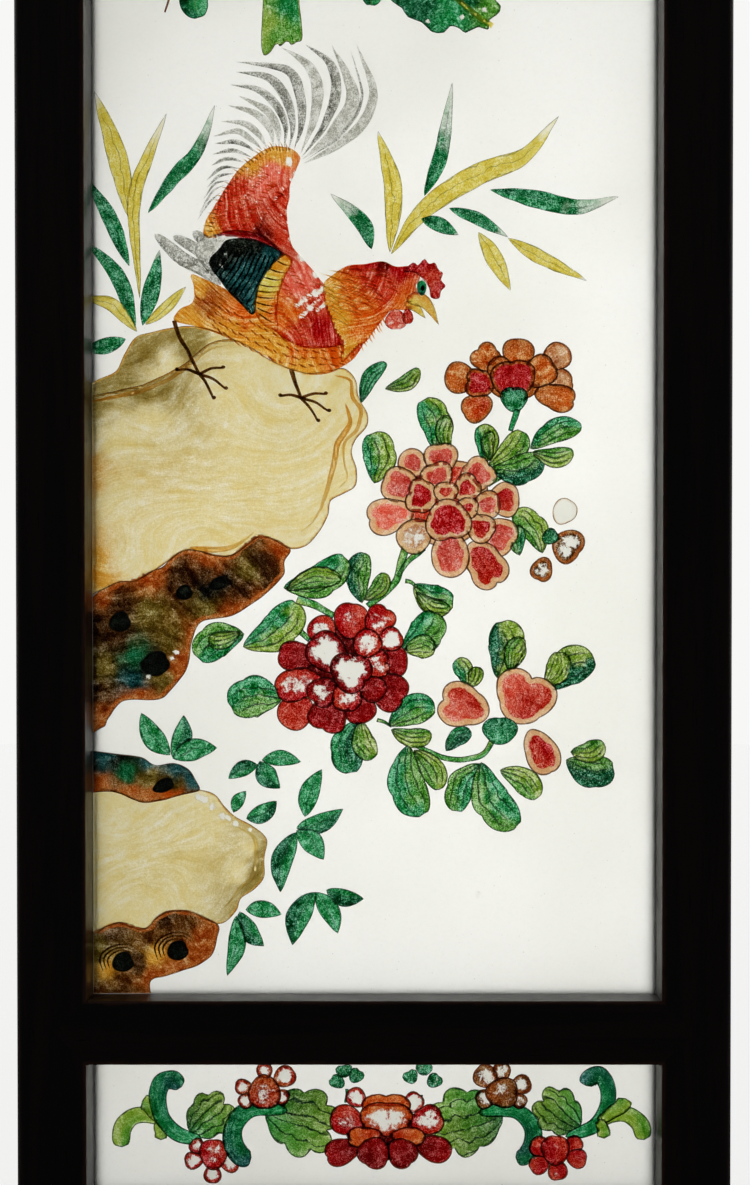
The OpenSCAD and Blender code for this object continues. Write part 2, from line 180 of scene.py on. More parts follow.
class Nodes:
    """Adds nodes to a tree and joins them, so that a material reads as a short list."""

    def __init__(self, tree):
        self.tree = tree
        tree.nodes.clear()

    def add(self, kind, inputs=None, **settings):
        node = self.tree.nodes.new(kind)
        for name, value in settings.items():
            setattr(node, name, value)
        self.join(node, inputs or {})
        return node

    def join(self, node, inputs):
        """Feeds the named inputs of a node: a socket is linked, and anything else is set."""
        for name, value in inputs.items():
            socket = node.inputs[name]
            if isinstance(value, bpy.types.NodeSocket):
                self.tree.links.new(value, socket)
            elif socket.type == "RGBA" and len(value) == 3:
                socket.default_value = (*value, 1.0)
            else:
                socket.default_value = value

    def math(self, operation, first, second=0.0, clamp=False):
        node = self.add("ShaderNodeMath", {0: first, 1: second}, operation=operation)
        node.use_clamp = clamp
        return node.outputs[0]

    def plus(self, first, second):
        return self.math("ADD", first, second)

    def minus(self, first, second, clamp=False):
        return self.math("SUBTRACT", first, second, clamp)

    def times(self, first, second):
        return self.math("MULTIPLY", first, second)

    def swing(self, value, reach):
        """A value from 0 to 1, moved to lie evenly on both sides of nothing."""
        return self.times(self.minus(value, 0.5), reach)

    def vector(self, operation, first, second):
        return self.add("ShaderNodeVectorMath", {0: first, 1: second}, operation=operation).outputs[0]

    def split(self, vector):
        return self.add("ShaderNodeSeparateXYZ", {0: vector}).outputs

    def step(self, value, low, high):
        """0 below low, 1 above high and a smooth slope between; high may be below low."""
        node = self.add("ShaderNodeMapRange", {0: value, 1: low, 2: high}, interpolation_type="SMOOTHSTEP")
        return node.outputs[0]

    def mix(self, share, first, second):
        return self.add("ShaderNodeMix", {0: share, 6: first, 7: second}, data_type="RGBA").outputs[2]

    def deepened(self, colour, depth):
        """Light that has gone through `depth` layers of a colour."""
        return self.add("ShaderNodeGamma", {"Color": colour, "Gamma": depth}).outputs[0]

    def cloud(self, place, scale, detail=4.0, roughness=0.55, distortion=0.0):
        node = self.add("ShaderNodeTexNoise", {"Vector": place, "Scale": scale, "Detail": detail,
                                               "Roughness": roughness, "Distortion": distortion})
        return node.outputs[0]

    def place(self):
        """Object coordinates."""
        return self.add("ShaderNodeTexCoord").outputs["Object"]

    def stretched(self, place, scale):
        return self.add("ShaderNodeMapping", {"Vector": place, "Scale": scale}).outputs[0]

    def bump(self, height, strength, distance, invert=False):
        node = self.add("ShaderNodeBump", {"Height": height, "Strength": strength, "Distance": distance})
        node.invert = invert
        return node.outputs[0]

    def group(self, name, inputs):
        """Uses one of the shared node groups and gives its outputs."""
        return self.add("ShaderNodeGroup", inputs, node_tree=bpy.data.node_groups[name]).outputs


# Defaults of the groups' sockets
ORIGIN = (0.0, 0.0, 0.0)
BLACK = (0.0, 0.0, 0.0, 1.0)
WHITE = (1.0, 1.0, 1.0, 1.0)


def new_group(name, inputs, outputs):
    """A shader node group, as its node helper, its input sockets and its output node. An input's
    kind follows from its default: one number, three for a vector or four for a colour."""
    group = bpy.data.node_groups.new(name, "ShaderNodeTree")
    kinds = {3: "NodeSocketVector", 4: "NodeSocketColor"}
    for label, default in inputs.items():
        kind = "NodeSocketFloat" if isinstance(default, float) else kinds[len(default)]
        group.interface.new_socket(label, in_out="INPUT", socket_type=kind).default_value = default
    for label in outputs:
        kind = "NodeSocketColor" if label == "Colour" else "NodeSocketFloat"
        group.interface.new_socket(label, in_out="OUTPUT", socket_type=kind)
    nodes = Nodes(group)
    given = nodes.add("NodeGroupInput").outputs
    return nodes, given, nodes.add("NodeGroupOutput")


def new_material(name):
    """A material with its node helper and its Principled shader already joined to the output."""
    material = bpy.data.materials.new(name)
    material.use_nodes = True
    nodes = Nodes(material.node_tree)
    shader = nodes.add("ShaderNodeBsdfPrincipled")
    nodes.add("ShaderNodeOutputMaterial", {"Surface": shader.outputs[0]})
    return material, nodes, shader


def edge_wear_group():
    """Mask of the arrises of a squared piece that fills the box from Low to High."""
    nodes, given, result = new_group(
        "edge_wear", {"Place": ORIGIN, "Low": ORIGIN, "High": ORIGIN, "Width": 0.002}, ["Wear"])
    below = nodes.vector("SUBTRACT", given["Place"], given["Low"])
    above = nodes.vector("SUBTRACT", given["High"], given["Place"])
    x, y, z = nodes.split(nodes.vector("MINIMUM", below, above))
    nearest_pair = nodes.math("MAXIMUM", nodes.math("MINIMUM", x, y),
                              nodes.math("MINIMUM", nodes.math("MAXIMUM", x, y), z))
    ragged = nodes.cloud(given["Place"], 140.0, 5.0, 0.7)
    reach = nodes.times(given["Width"], nodes.times(ragged, 2.0))
    near = nodes.math("DIVIDE", nearest_pair, reach)
    nodes.join(result, {"Wear": nodes.step(near, 1.0, 0.25)})


def hardwood_group():
    """Figure, pores and sheen of a dense dark hardwood whose grain runs along X of Place."""
    nodes, given, result = new_group(
        "hardwood", {"Place": ORIGIN, "Dark": BLACK, "Light": BLACK, "Worn": BLACK, "Wear": 0.0},
        ["Colour", "Roughness", "Height"])
    place = given["Place"]
    figure = nodes.cloud(nodes.stretched(place, (6.0, 95.0, 95.0)), 1.0, 6.0, 0.6, 0.9)
    fine = nodes.stretched(place, (90.0, 1500.0, 1500.0))
    pores = nodes.step(nodes.cloud(fine, 1.0, 3.0, 0.6), 0.56, 0.72)
    smudge = nodes.cloud(place, 38.0, 6.0, 0.7)
    ground = nodes.mix(nodes.step(figure, 0.38, 0.68), given["Dark"], given["Light"])
    rubbed = nodes.mix(given["Wear"], ground, given["Worn"])
    waxed = nodes.plus(nodes.times(smudge, 0.34), 0.3)
    dull = nodes.plus(waxed, nodes.times(pores, 0.2))
    nodes.join(result, {"Colour": nodes.mix(nodes.times(pores, 0.75), rubbed, (0.0015, 0.001, 0.001)),
                        "Roughness": nodes.minus(dull, nodes.times(given["Wear"], 0.12), True),
                        "Height": nodes.minus(nodes.times(figure, 0.5), pores)})


def grain_turn(size):
    """Turn that lays the longest side of a piece along X."""
    longest = max(range(3), key=lambda axis: size[axis])
    return [(0.0, 0.0, 0.0), (0.0, 0.0, math.pi / 2), (0.0, math.pi / 2, 0.0)][longest]


def wood_material(node, dark, light):
    """Hardwood for one piece, cut from its own stretch of board and worn along its own edges."""
    settings = bpy.context.scene.wood
    low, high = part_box(node)
    material, nodes, shader = new_material(node + "_wood")
    where = nodes.place()
    board = nodes.add("ShaderNodeMapping", {"Vector": where, "Location": noise.random_vector(),
                                            "Rotation": grain_turn(high - low)})
    wear = nodes.group("edge_wear", {"Place": where, "Low": low, "High": high, "Width": settings.wear_width})
    wood = nodes.group("hardwood", {"Place": board.outputs[0], "Dark": tuple(dark), "Light": tuple(light),
                                    "Worn": tuple(settings.worn), "Wear": wear["Wear"]})
    nodes.join(shader, {"Base Color": wood["Colour"], "Roughness": wood["Roughness"],
                        "Normal": nodes.bump(wood["Height"], 0.8, settings.pore_depth),
                        "Specular IOR Level": 0.2 if "bead" in node else 0.35})
    return material


def wear_finish(node, material):
    """Gives a CAD node its finish."""
    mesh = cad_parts[node].data
    mesh.materials.clear()
    mesh.materials.append(material)


def darker(colour, share):
    return tuple(level * share for level in colour)


def brass_material():
    material, nodes, shader = new_material("tarnished_brass")
    brass = tuple(bpy.context.scene.glass.brass)
    spots = nodes.cloud(nodes.place(), 2400.0, 5.0, 0.7)
    nodes.join(shader, {"Base Color": nodes.mix(nodes.step(spots, 0.45, 0.7), brass, darker(brass, 0.3)),
                        "Roughness": nodes.plus(nodes.times(spots, 0.4), 0.25), "Metallic": 1.0})
    return material


def peg_material():
    """End grain: rings and open pores seen end on."""
    material, nodes, shader = new_material("peg_end_grain")
    peg = tuple(bpy.context.scene.wood.peg)
    place = nodes.place()
    rings = nodes.cloud(nodes.stretched(place, (1.0, 1.0, 1.3)), 700.0, 4.0, 0.6, 1.2)
    pores = nodes.step(nodes.cloud(place, 5200.0, 2.0), 0.55, 0.68)
    grained = nodes.mix(rings, darker(peg, 0.35), peg)
    nodes.join(shader, {"Base Color": nodes.mix(nodes.times(pores, 0.7), grained, (0.004, 0.003, 0.002)),
                        "Roughness": nodes.plus(nodes.times(rings, 0.3), 0.4),
                        "Normal": nodes.bump(pores, 0.5, 0.00005, True)})
    return material


def milk_glass_material(pane):
    """Milky glass, cloudier in places, with dust blots, a few specks, and a darkening towards its edges that is
    partly sooty dirt and partly painted shade.
    """
    settings = bpy.context.scene.glass
    soot_and_shade = tuple(settings.soot_and_shade)
    low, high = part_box(pane)
    material, nodes, shader = new_material(pane + "_glass")
    where = nodes.place()
    broad = nodes.cloud(where, 9.0, 3.0, 0.5)
    fine = nodes.cloud(where, 900.0, 5.0, 0.75)
    specks = nodes.step(nodes.cloud(where, 1500.0, 1.0, 0.4), 0.755, 0.79)
    blots = nodes.step(nodes.cloud(where, 130.0, 6.0, 0.7), 0.66, 0.76)
    inward = nodes.vector("MINIMUM", nodes.vector("SUBTRACT", where, low),
                          nodes.vector("SUBTRACT", high, where))
    x, _, z = nodes.split(inward)
    # Painted shade: near the pane's edges the glass is mixed towards the sooty colour, partly as dirt and partly
    # standing in for the frame's shadow.
    darkening_reach = nodes.times(nodes.cloud(where, 75.0, 6.0, 0.7), 0.0085)
    edge_soot_and_shade = nodes.step(nodes.math("DIVIDE", nodes.math("MINIMUM", x, z), darkening_reach), 1.0, 0.45)
    body = nodes.mix(nodes.step(broad, 0.35, 0.65), tuple(settings.milk), tuple(settings.cloud))
    mottled = nodes.mix(nodes.times(nodes.step(fine, 0.42, 0.72), 0.16), body, darker(settings.cloud, 0.8))
    dusty = nodes.mix(nodes.times(blots, 0.16), mottled, soot_and_shade)
    speckled = nodes.mix(nodes.times(specks, 0.65), dusty, (0.11, 0.09, 0.06))
    nodes.join(shader, {"Base Color": nodes.mix(nodes.times(edge_soot_and_shade, 0.3), speckled, soot_and_shade),
                        "Roughness": nodes.plus(nodes.times(fine, 0.08), settings.blur - 0.04),
                        "Normal": nodes.bump(broad, 0.3, 0.0004),
                        "Transmission Weight": settings.clearness, "IOR": 1.45})
    return material


class TABLESCREEN_OT_wood(bpy.types.Operator):
    """Give every rail, stile, bead, apron, foot, stretcher and spandrel its waxed hardwood"""

    bl_idname = "tablescreen.wood"
    bl_label = "Finish the Wood"

    def execute(self, context):
        settings = context.scene.wood
        noise.seed_set(7)
        edge_wear_group()
        hardwood_group()
        for node in FRAME_WOOD + STAND_WOOD:
            wear_finish(node, wood_material(node, settings.dark, settings.light))
        pegs = peg_material()
        for node in PEGS:
            wear_finish(node, pegs)
        return {"FINISHED"}


class TABLESCREEN_OT_glass(bpy.types.Operator):
    """Give the two panes their milky glass and the glazing pins their brass"""

    bl_idname = "tablescreen.glass"
    bl_label = "Finish the Glass"

    def execute(self, context):
        for pane in PANES:
            wear_finish(pane, milk_glass_material(pane))
        wear_finish("bead_pins", brass_material())
        return {"FINISHED"}


# The grid point that lies straight ahead of the camera, in squares right and down
GRID_HEART = (405.0, 680.0)
# The painter's hand, in squares: how far it strays, and over what distance it changes
WOBBLE = 0.8
WOBBLE_PITCH = 15.0
PATCH_PITCH = 11.0
PATCH_STRAY = 6.0
SWEEP_STRAY = 52.0
TREMBLE = 3.0
# How soft a spot of colour is at its heart, and how fast it gives way to the next
SPOT_HEART = 9.0
SPOT_POWER = 1.8
# Squares to one unit of the UV map in which an area's brush marks run
SWEEP = 26.0
SWEEP_PITCH = 85.0


def on_glass(points):
    """Places on the pane, as (X, Z) in metres, of points of the painter's grid."""
    scene = bpy.context.scene
    right = scene.stage.eye_side + (points[:, 0] - GRID_HEART[0]) * scene.paint.square
    up = scene.stage.eye_height - (points[:, 1] - GRID_HEART[1]) * scene.paint.square
    return right, up


def curve_at(points, place, closed=False):
    """Points of a smooth curve through the given ones; place runs from 0 to the last of them."""
    points = np.array(points, float)
    if closed:
        ring = np.vstack([points[-1:], points, points[:2]])
        spans = len(points)
    else:
        ring = np.vstack([2 * points[0] - points[1], points, 2 * points[-1] - points[-2]])
        spans = len(points) - 1
    whole = np.clip(place.astype(int), 0, spans - 1)
    part = (place - whole)[:, None]
    p0, p1, p2, p3 = (ring[whole + step] for step in range(4))
    return 0.5 * (2 * p1 + (p2 - p0) * part + (2 * p0 - 5 * p1 + 4 * p2 - p3) * part ** 2
                  + (3 * p1 - p0 - 3 * p2 + p3) * part ** 3)


def hand_drawn(points):
    """The points moved a little, as a hand with a brush would."""
    moved = [noise.noise_vector(Vector((u, v, 0.0)) / WOBBLE_PITCH)[:2] for u, v in points]
    return points + WOBBLE * np.array(moved)


def drift(points, pitch):
    """A smooth random shift of each point, of up to about half a square, that varies over `pitch`."""
    return np.array([noise.noise_vector(Vector((u, v, 5.0)) / pitch)[:2] for u, v in points])


def inside(points, outline):
    """Which points lie within a closed outline."""
    x, y = points[:, :1], points[:, 1:]
    ax, ay = outline[:, 0], outline[:, 1]
    bx, by = np.roll(ax, -1), np.roll(ay, -1)
    rise = np.where(by == ay, 1e-9, by - ay)
    crossed = ((ay > y) != (by > y)) & (x < (bx - ax) * (y - ay) / rise + ax)
    return crossed.sum(axis=1) % 2 == 1


def nearest_on(points, outline):
    """The nearest place on a closed outline to each point, and how far it is."""
    start = outline[None]
    side = np.roll(outline, -1, axis=0)[None] - start
    length = np.maximum((side ** 2).sum(axis=2), 1e-12)
    share = np.clip(((points[:, None] - start) * side).sum(axis=2) / length, 0, 1)
    places = start + side * share[..., None]
    gaps = np.linalg.norm(points[:, None] - places, axis=2)
    best = gaps.argmin(axis=1)
    rows = np.arange(len(points))
    return places[rows, best], gaps[rows, best]


def taper(power, tilt=1.0):
    """Width along a stroke that swells once and ends in points; tilt under 1 swells it early."""
    return lambda place: (place, np.sin(math.pi * place ** tilt) ** power)


def round_ends(place):
    return (1 - np.cos(math.pi * place)) / 2, np.sin(math.pi * place)


def round_tip(place):
    return place, np.minimum(place * 8, 1) ** 0.5 * np.sqrt(np.maximum(1 - place ** 5, 0))


def even(place):
    return place, 1 - 0.3 * place


def egg(place):
    reach = (1 - np.cos(math.pi * place)) / 2
    return reach, np.sin(math.pi * place) * (0.76 + 0.3 * reach)


def club(place):
    """Nearly even in width, with rounded ends, the first end the thicker one."""
    return place, np.sqrt(np.maximum(1 - (2 * place - 1) ** 8, 0)) * (1.15 - 0.35 * place)


PROFILES = {"leaf": taper(0.58, 1.2), "lance": taper(0.95, 0.66), "sickle": taper(0.85, 0.9),
            "petal": egg, "round": round_ends, "plume": round_tip,
            "stalk": even, "club": club, "crescent": taper(1.0, 1.1)}


class Film:
    """A shape of enamel on the painter's grid. Its chips are spots that have flaked, as (where, reach)."""

    def __init__(self, finish, flake):
        self.finish = finish
        self.flake = flake
        self.level = 0
        self.thin = False
        self.order = 0
        self.chips = []
        self.fade = 0.0

    def settle(self, outline):
        self.outline = outline
        self.low = outline.min(axis=0)
        self.high = outline.max(axis=0)

    def meets(self, other):
        """Whether the two films overlap."""
        if (self.low > other.high).any() or (other.low > self.high).any():
            return False
        return bool(inside(self.outline, other.outline).any() or inside(other.outline, self.outline).any())

    def worn(self, points):
        """How far each point has flaked, from the film's chips."""
        loss = np.zeros(len(points))
        for where, reach in self.chips:
            away = np.linalg.norm(points - np.array(where, float), axis=1)
            loss = np.maximum(loss, np.clip(1.35 - away / reach, 0, 1))
        return loss


class Stroke(Film):
    """A leaf, petal, feather or stem: a brush stroke along a curve, from root to tip."""

    def __init__(self, path, half, tints, profile, finish, flake=0.0, scallop=0.0, lobes=3):
        super().__init__(finish, flake)
        self.path = np.array(path, float)
        self.half = half
        self.tints = tints
        self.profile = PROFILES[profile]
        self.scallop = scallop
        self.lobes = lobes
        self.thin = half < 2.0
        self.length = np.linalg.norm(np.diff(self.path, axis=0), axis=1).sum()
        along = np.linspace(0, 1, max(8, int(self.length / 2)))
        across = np.ones(len(along))
        sides = [self.at(-across, along)[0], self.at(across, along[::-1])[0]]
        self.settle(np.vstack(sides))

    def at(self, across, along):
        """Grid points for across from -1 to 1 and along from 0 to 1, and their half widths."""
        place, width = self.profile(along)
        spans = (len(self.path) - 1) * place
        nudge = 0.02
        centre = curve_at(self.path, spans)
        heading = curve_at(self.path, spans + nudge) - curve_at(self.path, spans - nudge)
        heading /= np.maximum(np.linalg.norm(heading, axis=1), 1e-9)[:, None]
        side = np.stack([-heading[:, 1], heading[:, 0]], axis=1)
        points = centre + side * (across * width * self.half)[:, None]
        if self.scallop:
            points = self.scalloped(points)
        return hand_drawn(points), width * self.half

    def scalloped(self, points):
        """The points pushed out into rounded lobes on both sides of a notch at the tip."""
        middle = (self.path[0] + self.path[-1]) / 2
        ahead = self.path[-1] - self.path[0]
        spoke = points - middle
        turn = np.arctan2(spoke[:, 1], spoke[:, 0]) - math.atan2(ahead[1], ahead[0])
        toward_tip = (0.5 + 0.5 * np.cos(turn)) ** 0.7
        lobe = np.abs(np.sin(self.lobes * turn / 2)) ** 0.7
        return middle + spoke * (1 + self.scallop * toward_tip * (lobe - 0.6))[:, None]

    def lay(self, bm, uv, cell):
        """Adds the stroke's grid to bm and returns its vertices, points, colours and half widths."""
        columns = max(2, int(2 * self.half / cell))
        rows = max(5, int(self.length / cell))
        made = bmesh.ops.create_grid(bm, x_segments=columns, y_segments=rows, size=1.0, calc_uvs=True)
        verts = made["verts"]
        across = np.array([vert.co.x for vert in verts])
        along = np.clip(np.array([(vert.co.y + 1) / 2 for vert in verts]), 0, 1)
        points, widths = self.at(across, along)
        root, tip, far_root, far_tip = (enamel(name) for name in self.four_tints())
        near_side = root + (tip - root) * along[:, None]
        far_side = far_root + (far_tip - far_root) * along[:, None]
        patchy = np.array([noise.noise(Vector((u, v, 3.0)) / PATCH_PITCH) for u, v in points])
        share = np.clip(across * 1.2 + 0.5 + 0.9 * patchy, 0, 1)[:, None]
        colours = near_side + (far_side - near_side) * share
        if self.fade:
            pale = np.clip(1.0 + (along + 0.12 * patchy - 1.0) / self.fade, 0, 1)[:, None]
            colours += (enamel("white") - colours) * pale ** 0.6
        return verts, points, colours, widths

    def four_tints(self):
        names = list(self.tints)
        return names if len(names) == 4 else names + names


class Ground(Film):
    """A larger area of enamel within a closed outline, its colours blended between a few spots.
    The brush marks in it run at the angle `turn`, in degrees below the horizontal."""

    def __init__(self, corners, spots, finish, flake, turn, chips=(), smooth=6):
        super().__init__(finish, flake)
        self.spots = [(name, where) for name, places in spots.items() for where in places]
        self.chips = list(chips)
        self.turn = math.radians(turn)
        place = np.linspace(0, len(corners), len(corners) * smooth, endpoint=False)
        self.settle(hand_drawn(curve_at(corners, place, closed=True)))

    def lay(self, bm, uv, cell):
        """Adds the area's grid to bm, trimmed to the outline, and returns what Stroke.lay does."""
        size = self.high - self.low + 2 * cell
        middle = (self.low + self.high) / 2
        columns, rows = (max(2, int(side / cell)) for side in size)
        made = bmesh.ops.create_grid(bm, x_segments=columns, y_segments=rows, size=0.5, calc_uvs=True)
        verts = made["verts"]
        unit = np.array([vert.co[:2] for vert in verts])
        points = middle + unit * size
        index = {vert: number for number, vert in enumerate(verts)}
        faces = list({face for vert in verts for face in vert.link_faces})
        corners = [[points[index[vert]] for vert in face.verts] for face in faces]
        centres = np.array([np.mean(around, axis=0) for around in corners])
        outer = [face for face, kept in zip(faces, inside(centres, self.outline)) if not kept]
        bmesh.ops.delete(bm, geom=outer, context="FACES")
        kept = [number for number, vert in enumerate(verts) if vert.is_valid]
        verts = [verts[number] for number in kept]
        points = points[kept]
        edge = np.array([vert.is_boundary for vert in verts])
        points[edge] = nearest_on(points[edge], self.outline)[0]
        self.sweep(verts, points, uv)
        strayed = points + PATCH_STRAY * drift(points, PATCH_PITCH)
        away = [((strayed - np.array(where)) ** 2).sum(axis=1) + SPOT_HEART for _, where in self.spots]
        weights = np.stack([1 / gap ** SPOT_POWER for gap in away], axis=1)
        colours = np.stack([enamel(name) for name, _ in self.spots])
        blended = weights @ colours / weights.sum(axis=1, keepdims=True)
        return verts, points, blended, np.full(len(points), size.min() / 2)

    def sweep(self, verts, points, uv):
        """Lays the UV map so that its second axis runs along the brush marks, which bend a little."""
        bent = points + SWEEP_STRAY * drift(points, SWEEP_PITCH) + TREMBLE * drift(points, 2 * PATCH_PITCH)
        along = bent @ np.array([math.cos(self.turn), math.sin(self.turn)]) / SWEEP
        across = bent @ np.array([-math.sin(self.turn), math.cos(self.turn)]) / SWEEP
        for vert, right, ahead in zip(verts, across, along):
            for loop in vert.link_loops:
                loop[uv].uv = (right, ahead)


def enamel(name):
    return np.array(getattr(bpy.context.scene.paint, name))


def leaf(base, tip, half, tints, bow, lobes=0):
    """A leaf from base to tip, bowed to one side, its two halves in two greens. A small one has no lobes."""
    base, tip = np.array(base, float), np.array(tip, float)
    along = tip - base
    middle = (base + tip) / 2 + np.array([-along[1], along[0]]) * bow
    near, far = tints
    profile, finish, scallop = ("leaf", "leaf", 0.16) if lobes else ("sickle", "small_leaf", 0.0)
    return Stroke([base, middle, tip], half, (near, near, far, far), profile, finish, 0.0, scallop, lobes)


def petal(centre, size, heart, tints, flake=0.0, scallop=0.14, finish="petal", lobes=3):
    """A petal as an oval of half widths `size` whose root points at the heart of the bloom."""
    centre = np.array(centre, float)
    heading = centre - np.array(heart, float)
    angle = math.atan2(heading[1], heading[0])
    wide, high = size
    reach = math.hypot(wide * math.cos(angle), high * math.sin(angle))
    half = math.hypot(wide * math.sin(angle), high * math.cos(angle))
    step = np.array([math.cos(angle), math.sin(angle)]) * reach
    path = [centre - step, centre, centre + step]
    return Stroke(path, half, tints, "petal", finish, flake, scallop, lobes)


def blob(centre, size, name):
    """A round dab of one colour."""
    wide, high = size
    centre = np.array(centre, float)
    return Stroke([centre + (0, high), centre, centre - (0, high)], wide, (name, name), "round", "wash")


def drawn_line(path, half, root, tip=None, profile="lance"):
    """A line drawn in one stroke, from one colour at its root to another at its tip."""
    return Stroke(path, half, (root, tip or root), profile, "wash")


def hollow(centre, size):
    """A dark hole in a rock."""
    heart = (centre[0] - 9, centre[1] + 4)
    return petal(centre, size, heart, ("black", "black"), 0.0, 0.12, "hollow", 5)


def banana_plant():
    """The trunk that rises behind the cockerel, and its crown of drooping leaves."""
    crown = (283, -112)
    fronds = [([crown, (262, -190), (236, -266)], 20), ([crown, (302, -205), (352, -262)], 24),
              ([crown, (212, -188), (138, -196), (112, -160)], 23),
              ([crown, (398, -196), (508, -212), (588, -166)], 25),
              ([crown, (226, -118), (184, -60), (201, 25)], 29),
              ([crown, (334, -112), (364, -52), (372, 13)], 22)]
    trunk = [(264, -116), (300, -118), (301, -60), (300, 0), (303, 40), (297, 46), (292, 49), (288, 45),
             (281, 50), (277, 47), (270, 57), (264, 58), (262, 40), (264, 0), (266, -60)]
    broad = [(300, -114), (344, -112), (400, -84), (446, -48), (482, -8), (500, 10), (496, 20), (489, 24),
             (488, 34), (478, 31), (466, 37), (460, 33), (450, 30), (444, 37), (431, 36), (422, 27),
             (408, 21), (402, 12), (392, 6), (372, -22), (338, -74)]
    films = [Ground(trunk, {
        "green": [(290, -60), (284, 38)], "spring": [(270, -20), (268, 30)],
        "teal": [(290, 10), (300, -20)]}, "trunk", 0.0, 90.0)]
    for path, half in fronds:
        films.append(Stroke(path, half, ("green", "teal", "deep", "deep"), "leaf", "frond", 0.0, 0.1, 15))
        films.append(drawn_line(path, 1.9, "spring", "yellow"))
    films.append(Ground(broad, {
        "deep": [(420, 10), (470, 0), (350, -100)], "teal": [(450, 16), (400, -60)], "green": [(486, 12)]},
        "frond", 0.25, 60.0, [((484, 14), 4), ((428, 26), 3), ((462, 22), 3)], 2))
    rib = [(306, -108), (384, -62), (446, -6), (474, 18), (492, 30)]
    films.append(drawn_line(rib, 3.6, "spring", "yellow", "stalk"))
    films.append(drawn_line([(173, -6), (170, 6), (166, 16)], 1.2, "brown", profile="stalk"))
    return films


YELLOW_LEAF = ("yellow", "yellow")
GREEN_LEAF = ("deep", "teal", "teal", "deep")


def bamboo(leaves):
    """Bamboo leaves as (root to tip, half width, colours, share at the tip that fades to bare glass)."""
    films = []
    for path, half, tints, fade in leaves:
        finish = "bamboo" if tints is YELLOW_LEAF else "dark_bamboo"
        films.append(Stroke(path, half, tints, "sickle", finish))
        films[-1].fade = fade
    return films


def bamboo_right():
    """The spray of yellow and green bamboo in front of the cockerel."""
    return bamboo([
        ([(390, 254), (393, 190), (378, 134)], 9, YELLOW_LEAF, 0.1),
        ([(391, 256), (424, 212), (475, 178), (524, 158), (558, 119)], 11, YELLOW_LEAF, 0.1),
        ([(424, 198), (441, 156), (452, 86)], 7.4, GREEN_LEAF, 0.42),
        ([(490, 192), (530, 200), (576, 209), (618, 199)], 9, GREEN_LEAF, 0.38),
        ([(421, 221), (440, 227), (458, 237)], 7.5, GREEN_LEAF, 0.06),
        ([(449, 210), (478, 221), (508, 239)], 6.5, GREEN_LEAF, 0.2),
        ([(508, 240), (542, 260), (586, 282)], 7, YELLOW_LEAF, 0.1),
        ([(478, 234), (495, 262), (510, 292)], 8.5, YELLOW_LEAF, 0.1),
        ([(372, 251), (362, 224), (331, 196)], 8, GREEN_LEAF, 0.36),
    ])


def bamboo_left():
    """The spray of bamboo that rises from the rock."""
    return bamboo([
        ([(130, 219), (119, 160), (96, 94)], 10, YELLOW_LEAF, 0.1),
        ([(141, 300), (135, 208), (149, 160), (168, 116)], 7, YELLOW_LEAF, 0.3),
        ([(149, 215), (174, 181), (199, 152), (216, 108)], 7.4, GREEN_LEAF, 0.36),
        ([(130, 268), (112, 222), (88, 180)], 7.5, GREEN_LEAF, 0.06),
        ([(136, 330), (120, 280), (88, 243)], 8, GREEN_LEAF, 0.06),
        ([(143, 327), (153, 290), (161, 252)], 8.5, GREEN_LEAF, 0.06),
        ([(138, 333), (114, 307), (84, 298)], 7, YELLOW_LEAF, 0.1),
        ([(146, 326), (168, 308), (187, 288)], 6, YELLOW_LEAF, 0.1),
        ([(127, 340), (106, 347), (84, 350)], 8, GREEN_LEAF, 0.06),
    ])


